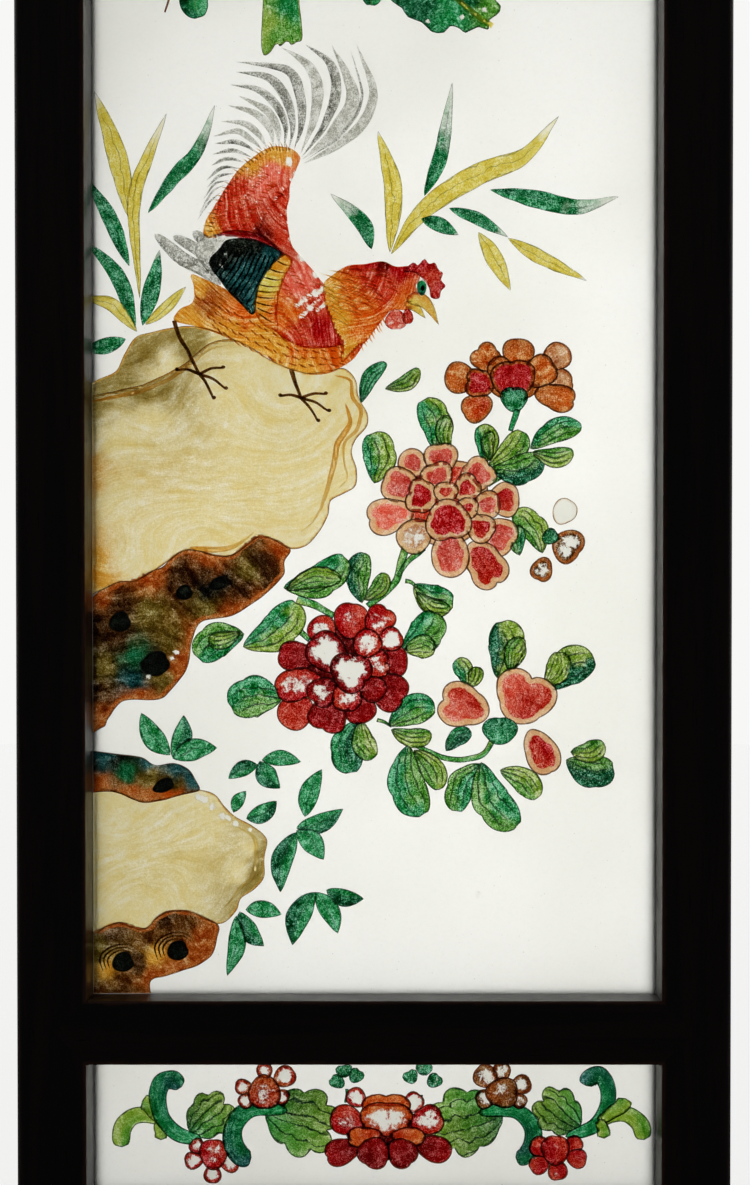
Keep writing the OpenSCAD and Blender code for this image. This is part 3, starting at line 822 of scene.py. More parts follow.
def rock_upper():
    """The rock that the cockerel stands on: a straw-coloured body over a hollowed dark one."""
    dark = [(82, 610), (96, 594), (109, 586), (128, 578), (160, 568), (175, 555), (192, 550), (228, 556),
            (243, 545), (258, 535), (273, 538), (291, 549), (285, 562), (283, 577), (258, 600), (232, 616),
            (202, 622), (192, 641), (190, 658), (185, 673), (171, 690), (158, 700), (124, 701), (109, 718),
            (102, 728), (70, 730), (70, 612)]
    cap = [(70, 400), (80, 392), (100, 380), (117, 372), (125, 356), (136, 339), (149, 334), (175, 329),
           (198, 328), (232, 338), (236, 352), (205, 354), (185, 372), (160, 386), (119, 398), (90, 402),
           (70, 404)]
    straw = [(70, 440), (70, 402), (90, 397), (119, 391), (141, 386), (164, 376), (186, 364), (198, 353),
             (213, 343), (232, 340), (251, 348), (266, 358), (284, 367), (307, 374), (330, 371), (346, 370),
             (356, 382), (358, 395), (362, 405), (368, 416), (367, 427), (356, 440), (352, 452), (357, 470),
             (356, 486), (343, 495), (331, 501), (328, 516), (320, 531), (307, 546), (290, 549), (273, 540),
             (258, 538), (245, 548), (230, 557), (213, 556), (190, 550), (175, 557), (156, 570), (136, 581),
             (117, 583), (100, 591), (82, 600), (70, 602), (70, 540)]
    films = [
        Ground(dark, {
            "rust": [(150, 576), (210, 562), (280, 550), (140, 696), (186, 662), (94, 724), (256, 602),
                     (236, 614), (194, 642), (182, 676), (98, 596)],
            "umber": [(262, 562), (244, 590), (120, 606), (92, 690), (96, 624), (118, 640), (180, 580),
                      (205, 575), (272, 580)],
            "moss": [(206, 606), (150, 612), (172, 640), (100, 668), (162, 682), (250, 570)],
            "slate": [(134, 680)], "black": [(150, 664), (222, 582), (206, 590)], "deep": [(134, 656)]},
            "rough_rock", 0.0, 20.0),
        Ground(cap, {
            "olive": [(110, 388), (150, 352), (190, 344)], "straw": [(226, 346), (166, 368)]},
            "rock", 0.0, -28.0),
        Ground(straw, {
            "straw": [(150, 420), (260, 460), (200, 520), (320, 400), (330, 470), (116, 500), (120, 440),
                      (150, 540), (130, 560), (240, 400)], "ochre": [(94, 568), (84, 592), (78, 480)],
            "olive": [(150, 392), (84, 410)]}, "rock", 0.0, -12.0),
    ]
    lines = [([(84, 404), (119, 397), (141, 392), (166, 382), (192, 365), (208, 352), (232, 344)], 2.4),
             ([(334, 376), (350, 382), (353, 398), (361, 412), (357, 430), (345, 442), (344, 462),
               (347, 480), (334, 492)], 2.0),
             ([(346, 404), (350, 424), (338, 444), (333, 470), (326, 494), (316, 518), (298, 536)], 3.0),
             ([(190, 548), (214, 550), (236, 546), (258, 530)], 3.0)]
    for path, half in lines:
        films.append(drawn_line(path, half, "ochre", "straw"))
    for centre, size in (((120, 622), (11, 11)), ((184, 593), (9, 8)), ((155, 664), (15, 13)),
                         ((218, 584), (11, 6))):
        films.append(hollow(centre, size))
    for centre in ((172, 658), (149, 677), (176, 652)):
        films[0].chips.append((centre, 3.4))
        films[-2].chips.append((centre, 3.4))
    return films


def rock_lower():
    """The lower rock: a band of slate, a straw-coloured body and a hollowed brown foot."""
    foot = [(70, 935), (97, 930), (119, 922), (144, 928), (156, 917), (170, 910), (192, 912), (217, 924),
            (217, 938), (212, 955), (200, 965), (183, 971), (166, 977), (150, 982), (144, 1004), (70, 1004)]
    straw = [(70, 820), (70, 790), (90, 788), (112, 790), (133, 798), (148, 801), (165, 798), (183, 793),
             (199, 790), (214, 794), (224, 806), (234, 816), (251, 825), (264, 835), (267, 843), (264, 860),
             (264, 877), (254, 890), (241, 899), (236, 911), (227, 921), (217, 924), (204, 919), (192, 914),
             (170, 912), (156, 919), (144, 930), (131, 928), (119, 924), (106, 927), (97, 933), (70, 937)]
    band = [(70, 752), (116, 754), (141, 757), (155, 765), (173, 763), (188, 769), (197, 782), (199, 791),
            (183, 795), (165, 800), (148, 803), (133, 800), (112, 792), (70, 790)]
    films = [
        Ground(foot, {
            "umber": [(110, 934), (136, 962), (168, 916)],
            "rust": [(205, 955), (150, 975), (170, 972), (200, 940)],
            "brown": [(150, 940), (186, 926), (100, 985), (120, 984)], "moss": [(95, 950)],
            "ochre": [(154, 956), (104, 972)]}, "rough_rock", 0.0, 60.0),
        Ground(straw, {
            "straw": [(130, 850), (200, 830), (252, 850), (180, 890), (240, 870), (110, 812), (206, 800),
                      (120, 900)], "olive": [(264, 850), (254, 884), (258, 866)]},
            "rock", 0.0, -18.0,
            [((204, 800), 5), ((212, 806), 5), ((222, 816), 5), ((198, 797), 4), ((236, 824), 4),
             ((228, 818), 4), ((250, 830), 3)]),
        Ground(band, {
            "slate": [(150, 762), (178, 770), (192, 780), (104, 758)], "deep": [(126, 772)],
            "black": [(118, 762)], "moss": [(150, 778), (176, 784)],
            "rust": [(100, 786), (130, 792), (152, 795)], "orange": [(176, 796)]},
            "dark_rock", 0.0, 10.0),
    ]
    fold = [(236, 826), (254, 838), (256, 858), (253, 876), (240, 888), (230, 902), (216, 914)]
    films.append(drawn_line(fold, 2.5, "straw"))
    for centre, size in (((163, 786), (12, 6)), ((122, 963), (11, 11)), ((177, 951), (11, 11))):
        films.append(hollow(centre, size))
    for centre in ((122, 963), (177, 951)):
        for reach in (15, 19, 23):
            ring = [(centre[0] + reach * math.cos(turn), centre[1] + 0.8 * reach * math.sin(turn))
                    for turn in (2.6, 3.4, 4.2, 5.0, 5.8)]
            films.append(drawn_line(ring, 0.9, "black", "brown"))
    return films


# Each plume of the tail from root to tip, with its half width and its tone
PLUMES = [
    ([(304, 166), (333, 151), (363, 126), (373, 93), (357, 48)], 5.3, "silver"),
    ([(304, 164), (342, 137), (362, 100), (351, 53)], 1.5, "grey"),
    ([(303, 162), (333, 136), (353, 100), (333, 49)], 7.3, "silver"),
    ([(302, 160), (323, 131), (336, 98), (331, 68), (306, 48)], 5.3, "grey"),
    ([(301, 157), (313, 126), (318, 95), (309, 69), (282, 51)], 5.8, "silver"),
    ([(295, 153), (302, 126), (300, 95), (286, 73), (237, 65)], 5.3, "grey"),
    ([(290, 152), (293, 126), (285, 98), (267, 80), (237, 75)], 4.8, "grey"),
    ([(285, 151), (286, 128), (277, 108), (259, 93), (231, 88)], 4.3, "grey"),
    ([(280, 150), (278, 131), (267, 113), (240, 99)], 4.3, "silver"),
    ([(274, 150), (271, 133), (257, 117), (229, 108)], 3.9, "silver"),
    ([(268, 152), (259, 137), (247, 127), (222, 124)], 3.4, "silver"),
    ([(263, 153), (252, 142), (238, 134), (214, 139)], 3.1, "silver"),
    ([(258, 156), (240, 145), (215, 146)], 2.5, "grey"), ([(253, 160), (233, 153), (214, 157)], 2.1, "grey"),
    ([(246, 165), (228, 161), (212, 168)], 1.9, "grey"), ([(240, 171), (223, 170), (207, 183)], 1.8, "grey"),
    ([(235, 176), (220, 178), (208, 190)], 1.5, "grey"), ([(230, 182), (216, 186), (204, 201)], 1.2, "grey"),
    ([(226, 187), (212, 195), (200, 216)], 1.1, "grey"), ([(223, 194), (210, 204), (198, 222)], 1.1, "grey"),
]


def tail():
    """The fan of grey and silver plumes."""
    return [Stroke(path, half, (tone, tone, tone, "silver"), "crescent", "plume")
            for path, half, tone in PLUMES]


def fringe(path, count, length, half, tints, lean):
    """Short strokes side by side along a path, each pointing off to one side of it."""
    films = []
    for number in range(count):
        place = (number + 0.5) / count * (len(path) - 1)
        root = curve_at(path, np.array([place]))[0]
        ahead = curve_at(path, np.array([place + 0.02]))[0] - curve_at(path, np.array([place - 0.02]))[0]
        angle = math.atan2(ahead[1], ahead[0]) + math.pi / 2 + lean + 0.12 * math.sin(2.3 * number)
        reach = length * (1 + 0.25 * math.sin(1.9 * number))
        tip = root + reach * np.array([math.cos(angle), math.sin(angle)])
        middle = (root + tip) / 2 + 0.06 * reach * np.array([-math.sin(angle), math.cos(angle)])
        films.append(drawn_line([root, middle, tip], half, *tints))
    return films


# Steps of this share of a width never fall into rows
GOLDEN_SHARE = 0.618


def cockerel_body():
    """Legs, belly and saddle, with the rows of short feathers over them."""
    saddle = [(207, 240), (206, 225), (214, 210), (224, 195), (232, 181), (246, 166), (262, 154), (277, 149),
              (292, 151), (301, 160), (297, 172), (291, 186), (290, 200), (287, 215), (290, 236), (294, 250),
              (308, 266), (322, 283), (334, 298), (336, 316), (341, 331), (348, 341), (332, 349), (306, 349),
              (285, 340), (268, 325), (256, 308), (262, 292), (272, 272), (280, 258), (268, 247), (240, 240)]
    belly = [(193, 276), (226, 290), (250, 302), (272, 310), (302, 336), (336, 338), (372, 328), (366, 341),
             (352, 361), (326, 375), (298, 373), (278, 365), (256, 351), (226, 338), (197, 328), (175, 322),
             (181, 310), (193, 304), (195, 288)]
    films = legs()
    films.append(Ground(belly, {
        "ochre": [(200, 290), (190, 318), (230, 332), (280, 350), (300, 370), (262, 340)],
        "orange": [(240, 316), (296, 352), (340, 355)], "scarlet": [(362, 340)], "rust": [(206, 300)]},
        "feather", 0.12, 34.0))
    for row in range(4):
        path = [(192 + 6 * row, 296 + 9 * row), (240, 316 + 9 * row), (290, 340 + 8 * row),
                (344, 346 + 6 * row)]
        films += fringe(path, 19 - row, 10, 0.9, ("rust", "ochre"), -1.35)
    chips = [((298, 176), 6), ((297, 186), 6), ((294, 198), 6), ((292, 212), 6), ((292, 226), 6),
             ((295, 240), 6), ((290, 164), 5), ((303, 258), 6), ((316, 276), 5), ((300, 250), 5)]
    for right, down in ((306, 314), (315, 305), (310, 297), (320, 293), (302, 304), (322, 308)):
        chips += [((right + 4 * step, down - 3 * step), 3.4) for step in (-1, 0, 1)]
    for number in range(26):
        place = (244 + 50 * (GOLDEN_SHARE * number % 1), 156 + 3.2 * number)
        chips.append((place, 1.2 + 0.4 * (number % 3)))
    films.append(Ground(saddle, {
        "ochre": [(250, 166), (276, 154), (210, 232)],
        "scarlet": [(230, 212), (284, 200), (244, 222), (280, 236), (318, 300), (300, 340), (232, 228),
                    (242, 192)], "pink": [(262, 188), (274, 176), (302, 284)],
        "orange": [(286, 316), (268, 300)], "crimson": [(318, 330), (236, 236)], "maroon": [(262, 240)]},
        "feather", 0.12, 68.0, chips))
    films.append(Stroke([(208, 242), (232, 239), (262, 243), (290, 260)], 7, ("crimson", "maroon"), "sickle",
                        "feather"))
    edge = [(212, 236), (224, 204), (244, 176), (268, 156), (292, 154)]
    films += fringe(edge, 30, 9, 0.6, ("brown", "ochre"), 2.9)
    for inset, root, tip in ((8, "orange", "yellow"), (18, "scarlet", "ochre"), (30, "orange", "ochre"),
                             (42, "scarlet", "orange")):
        row = [(212 + inset, 240), (224 + inset, 208 + inset / 3), (244 + 0.9 * inset, 180 + inset / 2),
               (262 + 0.55 * inset, 164 + 0.8 * inset)]
        films += fringe(row, 18, 9, 0.7, (root, tip), 2.6)
    for path in ([(284, 262), (298, 276), (312, 296), (322, 320)],
                 [(278, 274), (290, 290), (302, 310), (316, 332)],
                 [(270, 290), (280, 306), (294, 324), (312, 342)]):
        films += fringe(path, 14, 13, 0.7, ("orange", "ochre"), 0.9)
    return films


def legs():
    """Two thin legs with three long toes and a spur each."""
    films = []
    feet = [([(175, 322), (180, 338), (189, 353), (200, 375)],
             [(177, 371), (223, 369), (226, 390), (214, 399)]),
            ([(291, 370), (296, 384), (301, 399)],
             [(280, 397), (326, 395), (329, 412), (318, 422)])]
    for path, toes in feet:
        films.append(drawn_line(path, 2.2, "brown", profile="stalk"))
        heel = np.array(path[-1], float)
        for toe in toes:
            toe = np.array(toe, float)
            knuckle = (heel + toe) / 2 + (0, -2.5)
            films.append(drawn_line([heel, knuckle, toe], 1.6, "brown", profile="stalk"))
            films.append(blob(toe + (0.6, -0.8), (2.1, 1.9), "brown"))
    return films


def cockerel_wing():
    """Grey primaries, striped teal secondaries and the row of ochre coverts."""
    shoulder = [(200, 242), (220, 236), (244, 240), (238, 252), (222, 266), (214, 276), (204, 268),
                (196, 256)]
    stripes = [(210, 264), (220, 250), (228, 242), (248, 240), (268, 246), (283, 256), (272, 268), (260, 288),
               (254, 316), (240, 304), (222, 284)]
    coverts = [(284, 256), (293, 263), (286, 278), (280, 296), (278, 314), (278, 332), (266, 328), (257, 318),
               (254, 306), (258, 290), (268, 272)]
    films = []
    for path, half in (([(218, 276), (186, 262), (156, 236)], 7), ([(216, 264), (196, 250), (174, 238)], 6),
                       ([(222, 262), (206, 244), (194, 233)], 6), ([(222, 286), (200, 272), (178, 264)], 4)):
        films.append(Stroke(path, half, ("silver", "grey", "grey", "silver"), "plume", "plume"))
    films.append(Ground(shoulder, {
        "silver": [(214, 248), (204, 244)], "white": [(232, 242)], "grey": [(216, 270)]},
        "plume", 0.5, 40.0))
    films.append(Ground(stripes, {
        "black": [(230, 248), (256, 244), (216, 262), (242, 250), (232, 300)],
        "slate": [(240, 286), (252, 274), (268, 262), (252, 300)]},
        "wing", 0.1, 120.0, [((222, 268), 2.5), ((230, 276), 2), ((226, 256), 2)]))
    for number in range(11):
        share = number / 10
        root = np.array((234 + 46 * share, 250 + 10 * share))
        tip = np.array((215 + 40 * share, 276 + 38 * share))
        films.append(drawn_line([root, (root + tip) / 2 + (1, 1), tip], 1.0, "black", profile="stalk"))
    films.append(Ground(coverts, {
        "ochre": [(286, 266), (262, 306)], "yellow": [(270, 286)], "orange": [(276, 312)]},
        "feather", 0.0, 40.0))
    for number in range(9):
        share = number / 8
        tip = curve_at([(292, 268), (284, 286), (279, 302), (277, 326)], np.array([3 * share]))[0]
        root = curve_at([(276, 262), (260, 284), (255, 300), (258, 314)], np.array([3 * share]))[0]
        films.append(drawn_line([root, (root + tip) / 2 + (0, 1), tip], 0.8, "black", "rust"))
    return films


def cockerel_head():
    """Hackle, comb, wattle, beak and eye."""
    hackle = [(324, 285), (332, 277), (346, 268), (364, 266), (383, 263), (396, 268), (412, 268), (420, 276),
              (417, 291), (420, 300), (410, 311), (392, 312), (384, 320), (377, 329), (367, 342), (358, 349),
              (350, 356), (342, 363), (341, 343), (334, 331), (327, 312), (324, 299)]
    films = [Ground(hackle, {
        "ochre": [(330, 290), (338, 322), (348, 352)],
        "orange": [(350, 286), (362, 310), (400, 302), (364, 332)], "maroon": [(384, 266)],
        "scarlet": [(382, 286), (390, 296), (366, 274)], "crimson": [(398, 272), (370, 268)]},
        "feather", 0.0, 128.0)]
    rows = [([(334, 292), (342, 308), (352, 330)], 11, 24, ("yellow", "straw")),
            ([(342, 282), (354, 302), (366, 322)], 12, 24, ("ochre", "straw")),
            ([(352, 276), (366, 294), (378, 314)], 12, 24, ("orange", "yellow")),
            ([(364, 272), (378, 288), (388, 306)], 11, 20, ("scarlet", "ochre")),
            ([(378, 270), (390, 280), (400, 296)], 8, 16, ("scarlet", "ochre"))]
    for path, count, length, tints in rows:
        films += fringe(path, count, length, 0.7, tints, 0.9)
    films += fringe([(350, 352), (362, 342), (374, 330), (384, 318)], 14, 9, 0.7, ("orange", "ochre"), 0.5)
    comb = [(404, 274), (409, 267), (414, 264), (418, 267), (424, 261), (429, 266), (435, 264), (438, 271),
            (443, 275), (441, 282), (446, 288), (441, 293), (439, 300), (431, 299), (429, 290), (423, 281),
            (414, 274)]
    films.append(Ground(comb, {
        "crimson": [(425, 268), (440, 288), (412, 270)], "scarlet": [(432, 280)]},
        "comb", 0.05, 70.0, (), 3))
    films.append(petal((396, 321), (12, 10), (396, 311), ("scarlet", "pink"), 0.5, 0.1, "comb"))
    films.append(petal((408, 318), (6, 8), (408, 309), ("crimson", "scarlet"), 0.1, 0.1, "comb"))
    films.append(Stroke([(404, 304), (416, 309), (426, 320)], 4.5, ("ochre", "yellow"), "lance", "bill"))
    films.append(Stroke([(406, 300), (424, 303), (439, 326)], 7, ("orange", "yellow", "yellow", "ochre"),
                        "lance", "bill"))
    films.append(blob((421, 288.5), (6.6, 9.2), "white"))
    films.append(petal((421.5, 289.5), (5.2, 7.6), (421.5, 300), ("slate", "teal"), 0.0, 0.0, "wash"))
    films.append(blob((422.5, 289.5), (2.0, 3.0), "black"))
    return films


RUST_PETAL = ("rust", "orange")
PALE_PETAL = ("rust", "buff")
RED_PETAL = ("crimson", "crimson", "crimson", "scarlet")
PINK_PETAL = ("crimson", "pink")
BRIGHT_PETAL = ("scarlet", "pink", "crimson", "scarlet")
DARK_PETAL = ("maroon", "crimson")
EMBER_PETAL = ("crimson", "orange")
FLAT_PETAL = ("crimson", "crimson")
CALYX = ("teal", "deep")


def bloom(heart, petals, finish, ground, scallop=0.13):
    """Petals from back to front as (centre, half widths, colours, flaked share), round one heart,
    over a ground as (colour, half widths)."""
    name, size = ground
    films = [petal(heart, size, (heart[0], heart[1] + 9), (name, name), 0.0, 0.1, finish, 5)]
    for number, (centre, size, tints, flake) in enumerate(petals):
        films.append(petal(centre, size, heart, tints, flake, scallop * (number % 3) / 1.3, finish,
                           3 if number % 2 else 4))
    return films


def rust_bloom():
    """The small rust-coloured peony at the top of the branch."""
    films = bloom((514, 388), [
        ((556, 358), (15, 16), PALE_PETAL, 0.2), ((559, 384), (14, 15), PALE_PETAL, 0.1),
        ((487, 360), (17, 15), RUST_PETAL, 0), ((518, 354), (18, 15), ("orange", "rust"), 0),
        ((539, 373), (18, 18), RUST_PETAL, 0), ((555, 398), (22, 14), RUST_PETAL, 0.3),
        ((460, 379), (16, 18), RUST_PETAL, 0), ((477, 408), (17, 15), EMBER_PETAL, 0.1),
        ((480, 384), (15, 16), FLAT_PETAL, 0), ((500, 370), (14, 13), ("orange", "rust"), 0),
        ((513, 380), (25, 19), FLAT_PETAL, 0)], "rust_petal", ("rust", (28, 14)), 0.16)
    films += [petal((514, 400), (15, 13), (514, 418), CALYX, finish="calyx"),
              Stroke([(517, 410), (514, 420), (510, 432)], 3.4, ("teal", "teal"), "stalk", "stem")]
    return films


def crimson_bloom():
    """The large pink and crimson peony in the middle."""
    return bloom((446, 504), [
        ((413, 464), (16, 15), PINK_PETAL, 0.3), ((441, 459), (19, 16), PINK_PETAL, 0),
        ((477, 476), (19, 18), PINK_PETAL, 0), ((504, 500), (16, 20), RED_PETAL, 0),
        ((401, 486), (20, 20), PINK_PETAL, 0), ((390, 516), (25, 19), ("pink", "pink"), 0.2),
        ((415, 536), (19, 19), PALE_PETAL, 0.75), ((499, 536), (17, 22), PINK_PETAL, 0.1),
        ((485, 564), (17, 29), RED_PETAL, 0.1), ((450, 553), (21, 25), PINK_PETAL, 0.1),
        ((437, 477), (19, 14), ("crimson", "pink"), 0), ((466, 489), (16, 14), RED_PETAL, 0),
        ((487, 505), (14, 16), PINK_PETAL, 0), ((480, 528), (15, 17), RED_PETAL, 0),
        ((422, 497), (16, 20), FLAT_PETAL, 0), ((446, 493), (14, 11), ("scarlet", "crimson"), 0),
        ((467, 508), (12, 12), RED_PETAL, 0), ((448, 520), (25, 21), FLAT_PETAL, 0)],
        "petal", ("scarlet", (48, 44)), 0.15)


def flaked_bloom():
    """The dark peony whose middle has flaked to bare glass."""
    return bloom((346, 668), [
        ((323, 631), (16, 16), RED_PETAL, 0.72), ((351, 621), (19, 19), RED_PETAL, 0.45),
        ((379, 621), (17, 16), RED_PETAL, 0.62), ((393, 661), (15, 19), DARK_PETAL, 0.2),
        ((297, 657), (20, 17), DARK_PETAL, 0.1), ((388, 691), (20, 21), DARK_PETAL, 0.2),
        ((296, 712), (20, 18), ("crimson", "scarlet"), 0.2), ((390, 640), (13, 14), RED_PETAL, 1.1),
        ((328, 715), (23, 16), DARK_PETAL, 0.1), ((360, 709), (18, 15), DARK_PETAL, 0.15),
        ((298, 684), (25, 17), RED_PETAL, 0.7), ((323, 691), (15, 17), DARK_PETAL, 0.75),
        ((347, 696), (17, 16), RED_PETAL, 0.78), ((372, 688), (15, 15), DARK_PETAL, 0.2),
        ((376, 664), (14, 16), RED_PETAL, 0.68), ((367, 644), (18, 13), RED_PETAL, 0.8),
        ((328, 653), (25, 19), DARK_PETAL, 1.0), ((350, 671), (23, 20), DARK_PETAL, 1.05)],
        "dark_petal", ("maroon", (46, 42)))


def side_bloom():
    """The heart-shaped pink flower at the end of the lower branch, and the flaked bud above it."""
    return [petal((541, 752), (15, 27), (526, 724), RED_PETAL, 0.14, 0.1),
            petal((524, 698), (33, 26), (508, 738), BRIGHT_PETAL, 0.03, 0.34),
            petal((464, 706), (27, 23), (496, 716), BRIGHT_PETAL, 0.02, 0.3),
            petal((500, 731), (19, 14), (500, 750), CALYX, finish="calyx"),
            petal((567, 546), (13, 21), (550, 536), ("brown", "brown"), 0.9, finish="rust_petal"),
            petal((542, 569), (12, 13), (550, 548), ("brown", "brown"), 0.8, finish="rust_petal"),
            petal((564, 512), (13, 14), (552, 532), ("white", "white"), 0.0, 0.06, "bare_petal"),
            petal((550, 537), (9, 9), (540, 545), CALYX, finish="calyx")]


def stems():
    """The branches that join the blooms."""
    runs = [([(410, 532), (402, 560), (394, 584), (368, 606)], 4.6),
            ([(424, 548), (408, 562), (398, 576)], 3.4), ([(297, 599), (314, 605), (334, 616)], 4.6),
            ([(288, 627), (299, 631), (310, 640)], 4.0),
            ([(494, 738), (482, 755), (450, 759), (408, 742)], 3.4),
            ([(377, 720), (384, 722), (392, 727)], 2.0), ([(405, 581), (411, 582), (418, 587)], 2.4),
            ([(516, 470), (500, 478), (488, 486)], 2.6)]
    return [Stroke(path, half, ("teal", "green", "spring", "teal"), "stalk", "stem") for path, half in runs]


# Base, tip and half width of each leaf of the peony branch, and the colours of its two halves
PEONY_LEAVES = [
    ((361, 404), (388, 362), 8, "tt"), ((385, 390), (420, 368), 8, "gs"), ((435, 451), (422, 399), 16, "ts"),
    ((449, 453), (448, 414), 9, "gs"), ((374, 484), (371, 432), 17, "ts"),
    ((484, 464), (479, 424), 12, "ts"), ((491, 462), (492, 430), 7, "gs"),
    ((488, 467), (523, 430), 14, "sg"), ((490, 470), (544, 456), 15, "gd"),
    ((530, 449), (584, 427), 12, "tg"), ((532, 452), (575, 452), 10, "gs"),
    ((543, 553), (512, 512), 14, "gs"), ((520, 556), (520, 524), 9, "gt"),
    ((414, 584), (455, 602), 15, "ts"), ((416, 592), (452, 610), 9, "gs"),
    ((362, 603), (366, 551), 13, "dg"), ((364, 600), (386, 571), 9, "gs"),
    ((284, 588), (348, 556), 17, "tg"), ((286, 590), (344, 580), 11, "sg"),
    ((243, 647), (299, 600), 19, "ts"), ((244, 634), (197, 660), 18, "tg"),
    ((240, 632), (206, 640), 9, "gs"), ((283, 699), (229, 709), 21, "gt"),
    ((402, 649), (436, 610), 18, "tg"), ((404, 651), (437, 650), 12, "gs"),
    ((358, 720), (352, 775), 17, "dt"), ((361, 720), (376, 760), 12, "sg"),
    ((389, 726), (438, 707), 15, "tg"), ((391, 730), (434, 734), 10, "gs"),
    ((408, 745), (425, 817), 19, "gt"), ((414, 750), (440, 792), 12, "sg"),
    ((480, 763), (456, 814), 14, "tg"), ((481, 762), (520, 828), 19, "tg"),
    ((500, 770), (540, 800), 13, "sg"), ((566, 760), (616, 768), 17, "gd"),
    ((570, 752), (606, 742), 11, "gs"), ((546, 690), (597, 658), 19, "sd"),
    ((545, 686), (560, 650), 13, "ss"), ((497, 678), (501, 619), 19, "ds"),
    ((511, 674), (524, 636), 10, "gs"), ((467, 687), (454, 659), 10, "ts"),
    ((468, 687), (476, 665), 8, "ss"), ((446, 751), (473, 731), 9, "td"),
]
LEAF_TINTS = {"t": "teal", "g": "green", "s": "spring", "d": "deep"}


def peony_leaves():
    films = []
    for number, (base, tip, half, halves) in enumerate(PEONY_LEAVES):
        near, far = (LEAF_TINTS[letter] for letter in halves)
        bow = 0.14 if number % 3 else -0.12
        films.append(leaf(base, tip, half, (near, far), bow, 5 if half > 12 and number % 3 else 3))
    return films


# Base, tip and half width of the small leaves round the lower rock
SMALL_LEAVES = [
    ((170, 755), (141, 713), 11), ((172, 757), (184, 715), 10), ((172, 758), (217, 748), 11),
    ((258, 765), (228, 779), 8), ((262, 760), (301, 762), 8), ((260, 761), (280, 788), 11),
    ((233, 813), (246, 791), 6.5), ((246, 819), (277, 801), 9.5), ((305, 817), (322, 769), 10),
    ((296, 828), (343, 809), 10), ((296, 830), (324, 860), 11), ((296, 832), (280, 893), 11),
    ((245, 910), (282, 915), 9), ((239, 912), (264, 947), 10), ((236, 916), (227, 976), 9),
    ((326, 890), (364, 899), 9), ((315, 892), (338, 934), 10), ((315, 892), (292, 946), 12),
]


def small_leaves():
    films = []
    for number, (base, tip, half) in enumerate(SMALL_LEAVES):
        tints = ("teal", "deep") if number % 2 else ("teal", "teal")
        films.append(leaf(base, tip, half, tints, 0.1 if number % 2 else -0.08))
    return films


def curl(path, half, tints=("slate", "teal", "deep", "teal")):
    """An acanthus curl that starts in a thick rounded hook."""
    return Stroke(path, half, tints, "club", "curl")


PALE_CURL = ("spring", "spring", "green", "spring")


def shell(centre, size, heart):
    """A scalloped leaf like a shell, its ribs fanning out from the heart."""
    return petal(centre, size, heart, ("deep", "spring", "teal", "spring"), 0.0, 0.34, "shell", 7)


def blossom(heart, petals, tints, flake):
    """A small round flower whose petals are mostly flaked."""
    films = []
    for centre, size in petals:
        share = flake if size < 14 else 0.65 * flake
        films.append(petal(centre, (size, size), heart, tints, share, 0.08, "dark_petal"))
    return films


def border_left():
    """Left half of the scroll border: pale leaves, two curls, two shells and two blossoms."""
    films = [curl([(121, 1149), (121, 1132), (130, 1119), (146, 1116), (162, 1122)], 9, PALE_CURL),
             curl([(141, 1102), (148, 1106), (154, 1114), (164, 1122)], 8, PALE_CURL),
             curl([(160, 1142), (160, 1134), (158, 1128), (160, 1120)], 6, PALE_CURL),
             shell((208, 1118), (26, 23), (184, 1138)),
             curl([(181, 1088), (172, 1081), (161, 1084), (157, 1100), (162, 1120), (178, 1136),
                   (202, 1142)], 9)]
    films += blossom((213, 1158), [((193, 1162), 10), ((197, 1148), 9), ((229, 1164), 11), ((212, 1176), 10),
                                   ((226, 1150), 9), ((213, 1156), 16)], RED_PETAL, 0.95)
    films += [shell((300, 1122), (36, 36), (262, 1108)),
              curl([(251, 1159), (240, 1157), (233, 1145), (233, 1129), (242, 1115), (258, 1109),
                    (288, 1112)], 10)]
    films += blossom((264, 1092), [((264, 1073), 9), ((243, 1088), 9), ((284, 1078), 12), ((246, 1102), 9),
                                   ((281, 1098), 9), ((264, 1093), 18)], ("rust", "crimson"), 0.95)
    return films


def border_middle():
    """The red peony in the middle of the border, with a sprig on each side above it."""
    films = []
    for base, tips in (((347, 1090), ((337, 1083), (344, 1072), (356, 1077))),
                       ((421, 1096), ((411, 1078), (424, 1070), (434, 1082)))):
        for tip in tips:
            films.append(petal(tip, (9, 7), base, ("deep", "teal"), 0.35, 0.25, "calyx"))
        films.append(Stroke([base, (base[0], base[1] + 6), (base[0] - 2, base[1] + 14)], 1.8,
                            ("teal", "teal"), "stalk", "stem"))
    films += bloom((386, 1136), [
        ((356, 1099), (11, 11), RED_PETAL, 1.1), ((413, 1104), (9, 13), RED_PETAL, 1.15),
        ((386, 1110), (28, 15), EMBER_PETAL, 0.3), ((347, 1122), (18, 17), RED_PETAL, 0.5),
        ((427, 1122), (17, 17), RED_PETAL, 0.8), ((342, 1153), (19, 14), DARK_PETAL, 0.1),
        ((434, 1150), (19, 15), DARK_PETAL, 0.12), ((386, 1121), (29, 18), EMBER_PETAL, 0.95),
        ((364, 1138), (18, 11), EMBER_PETAL, 0.3), ((408, 1138), (18, 11), EMBER_PETAL, 0.2),
        ((374, 1154), (20, 14), ("crimson", "maroon"), 0.12),
        ((402, 1154), (18, 14), ("crimson", "maroon"), 0.12)],
        "dark_petal", ("maroon", (44, 26)))
    return films


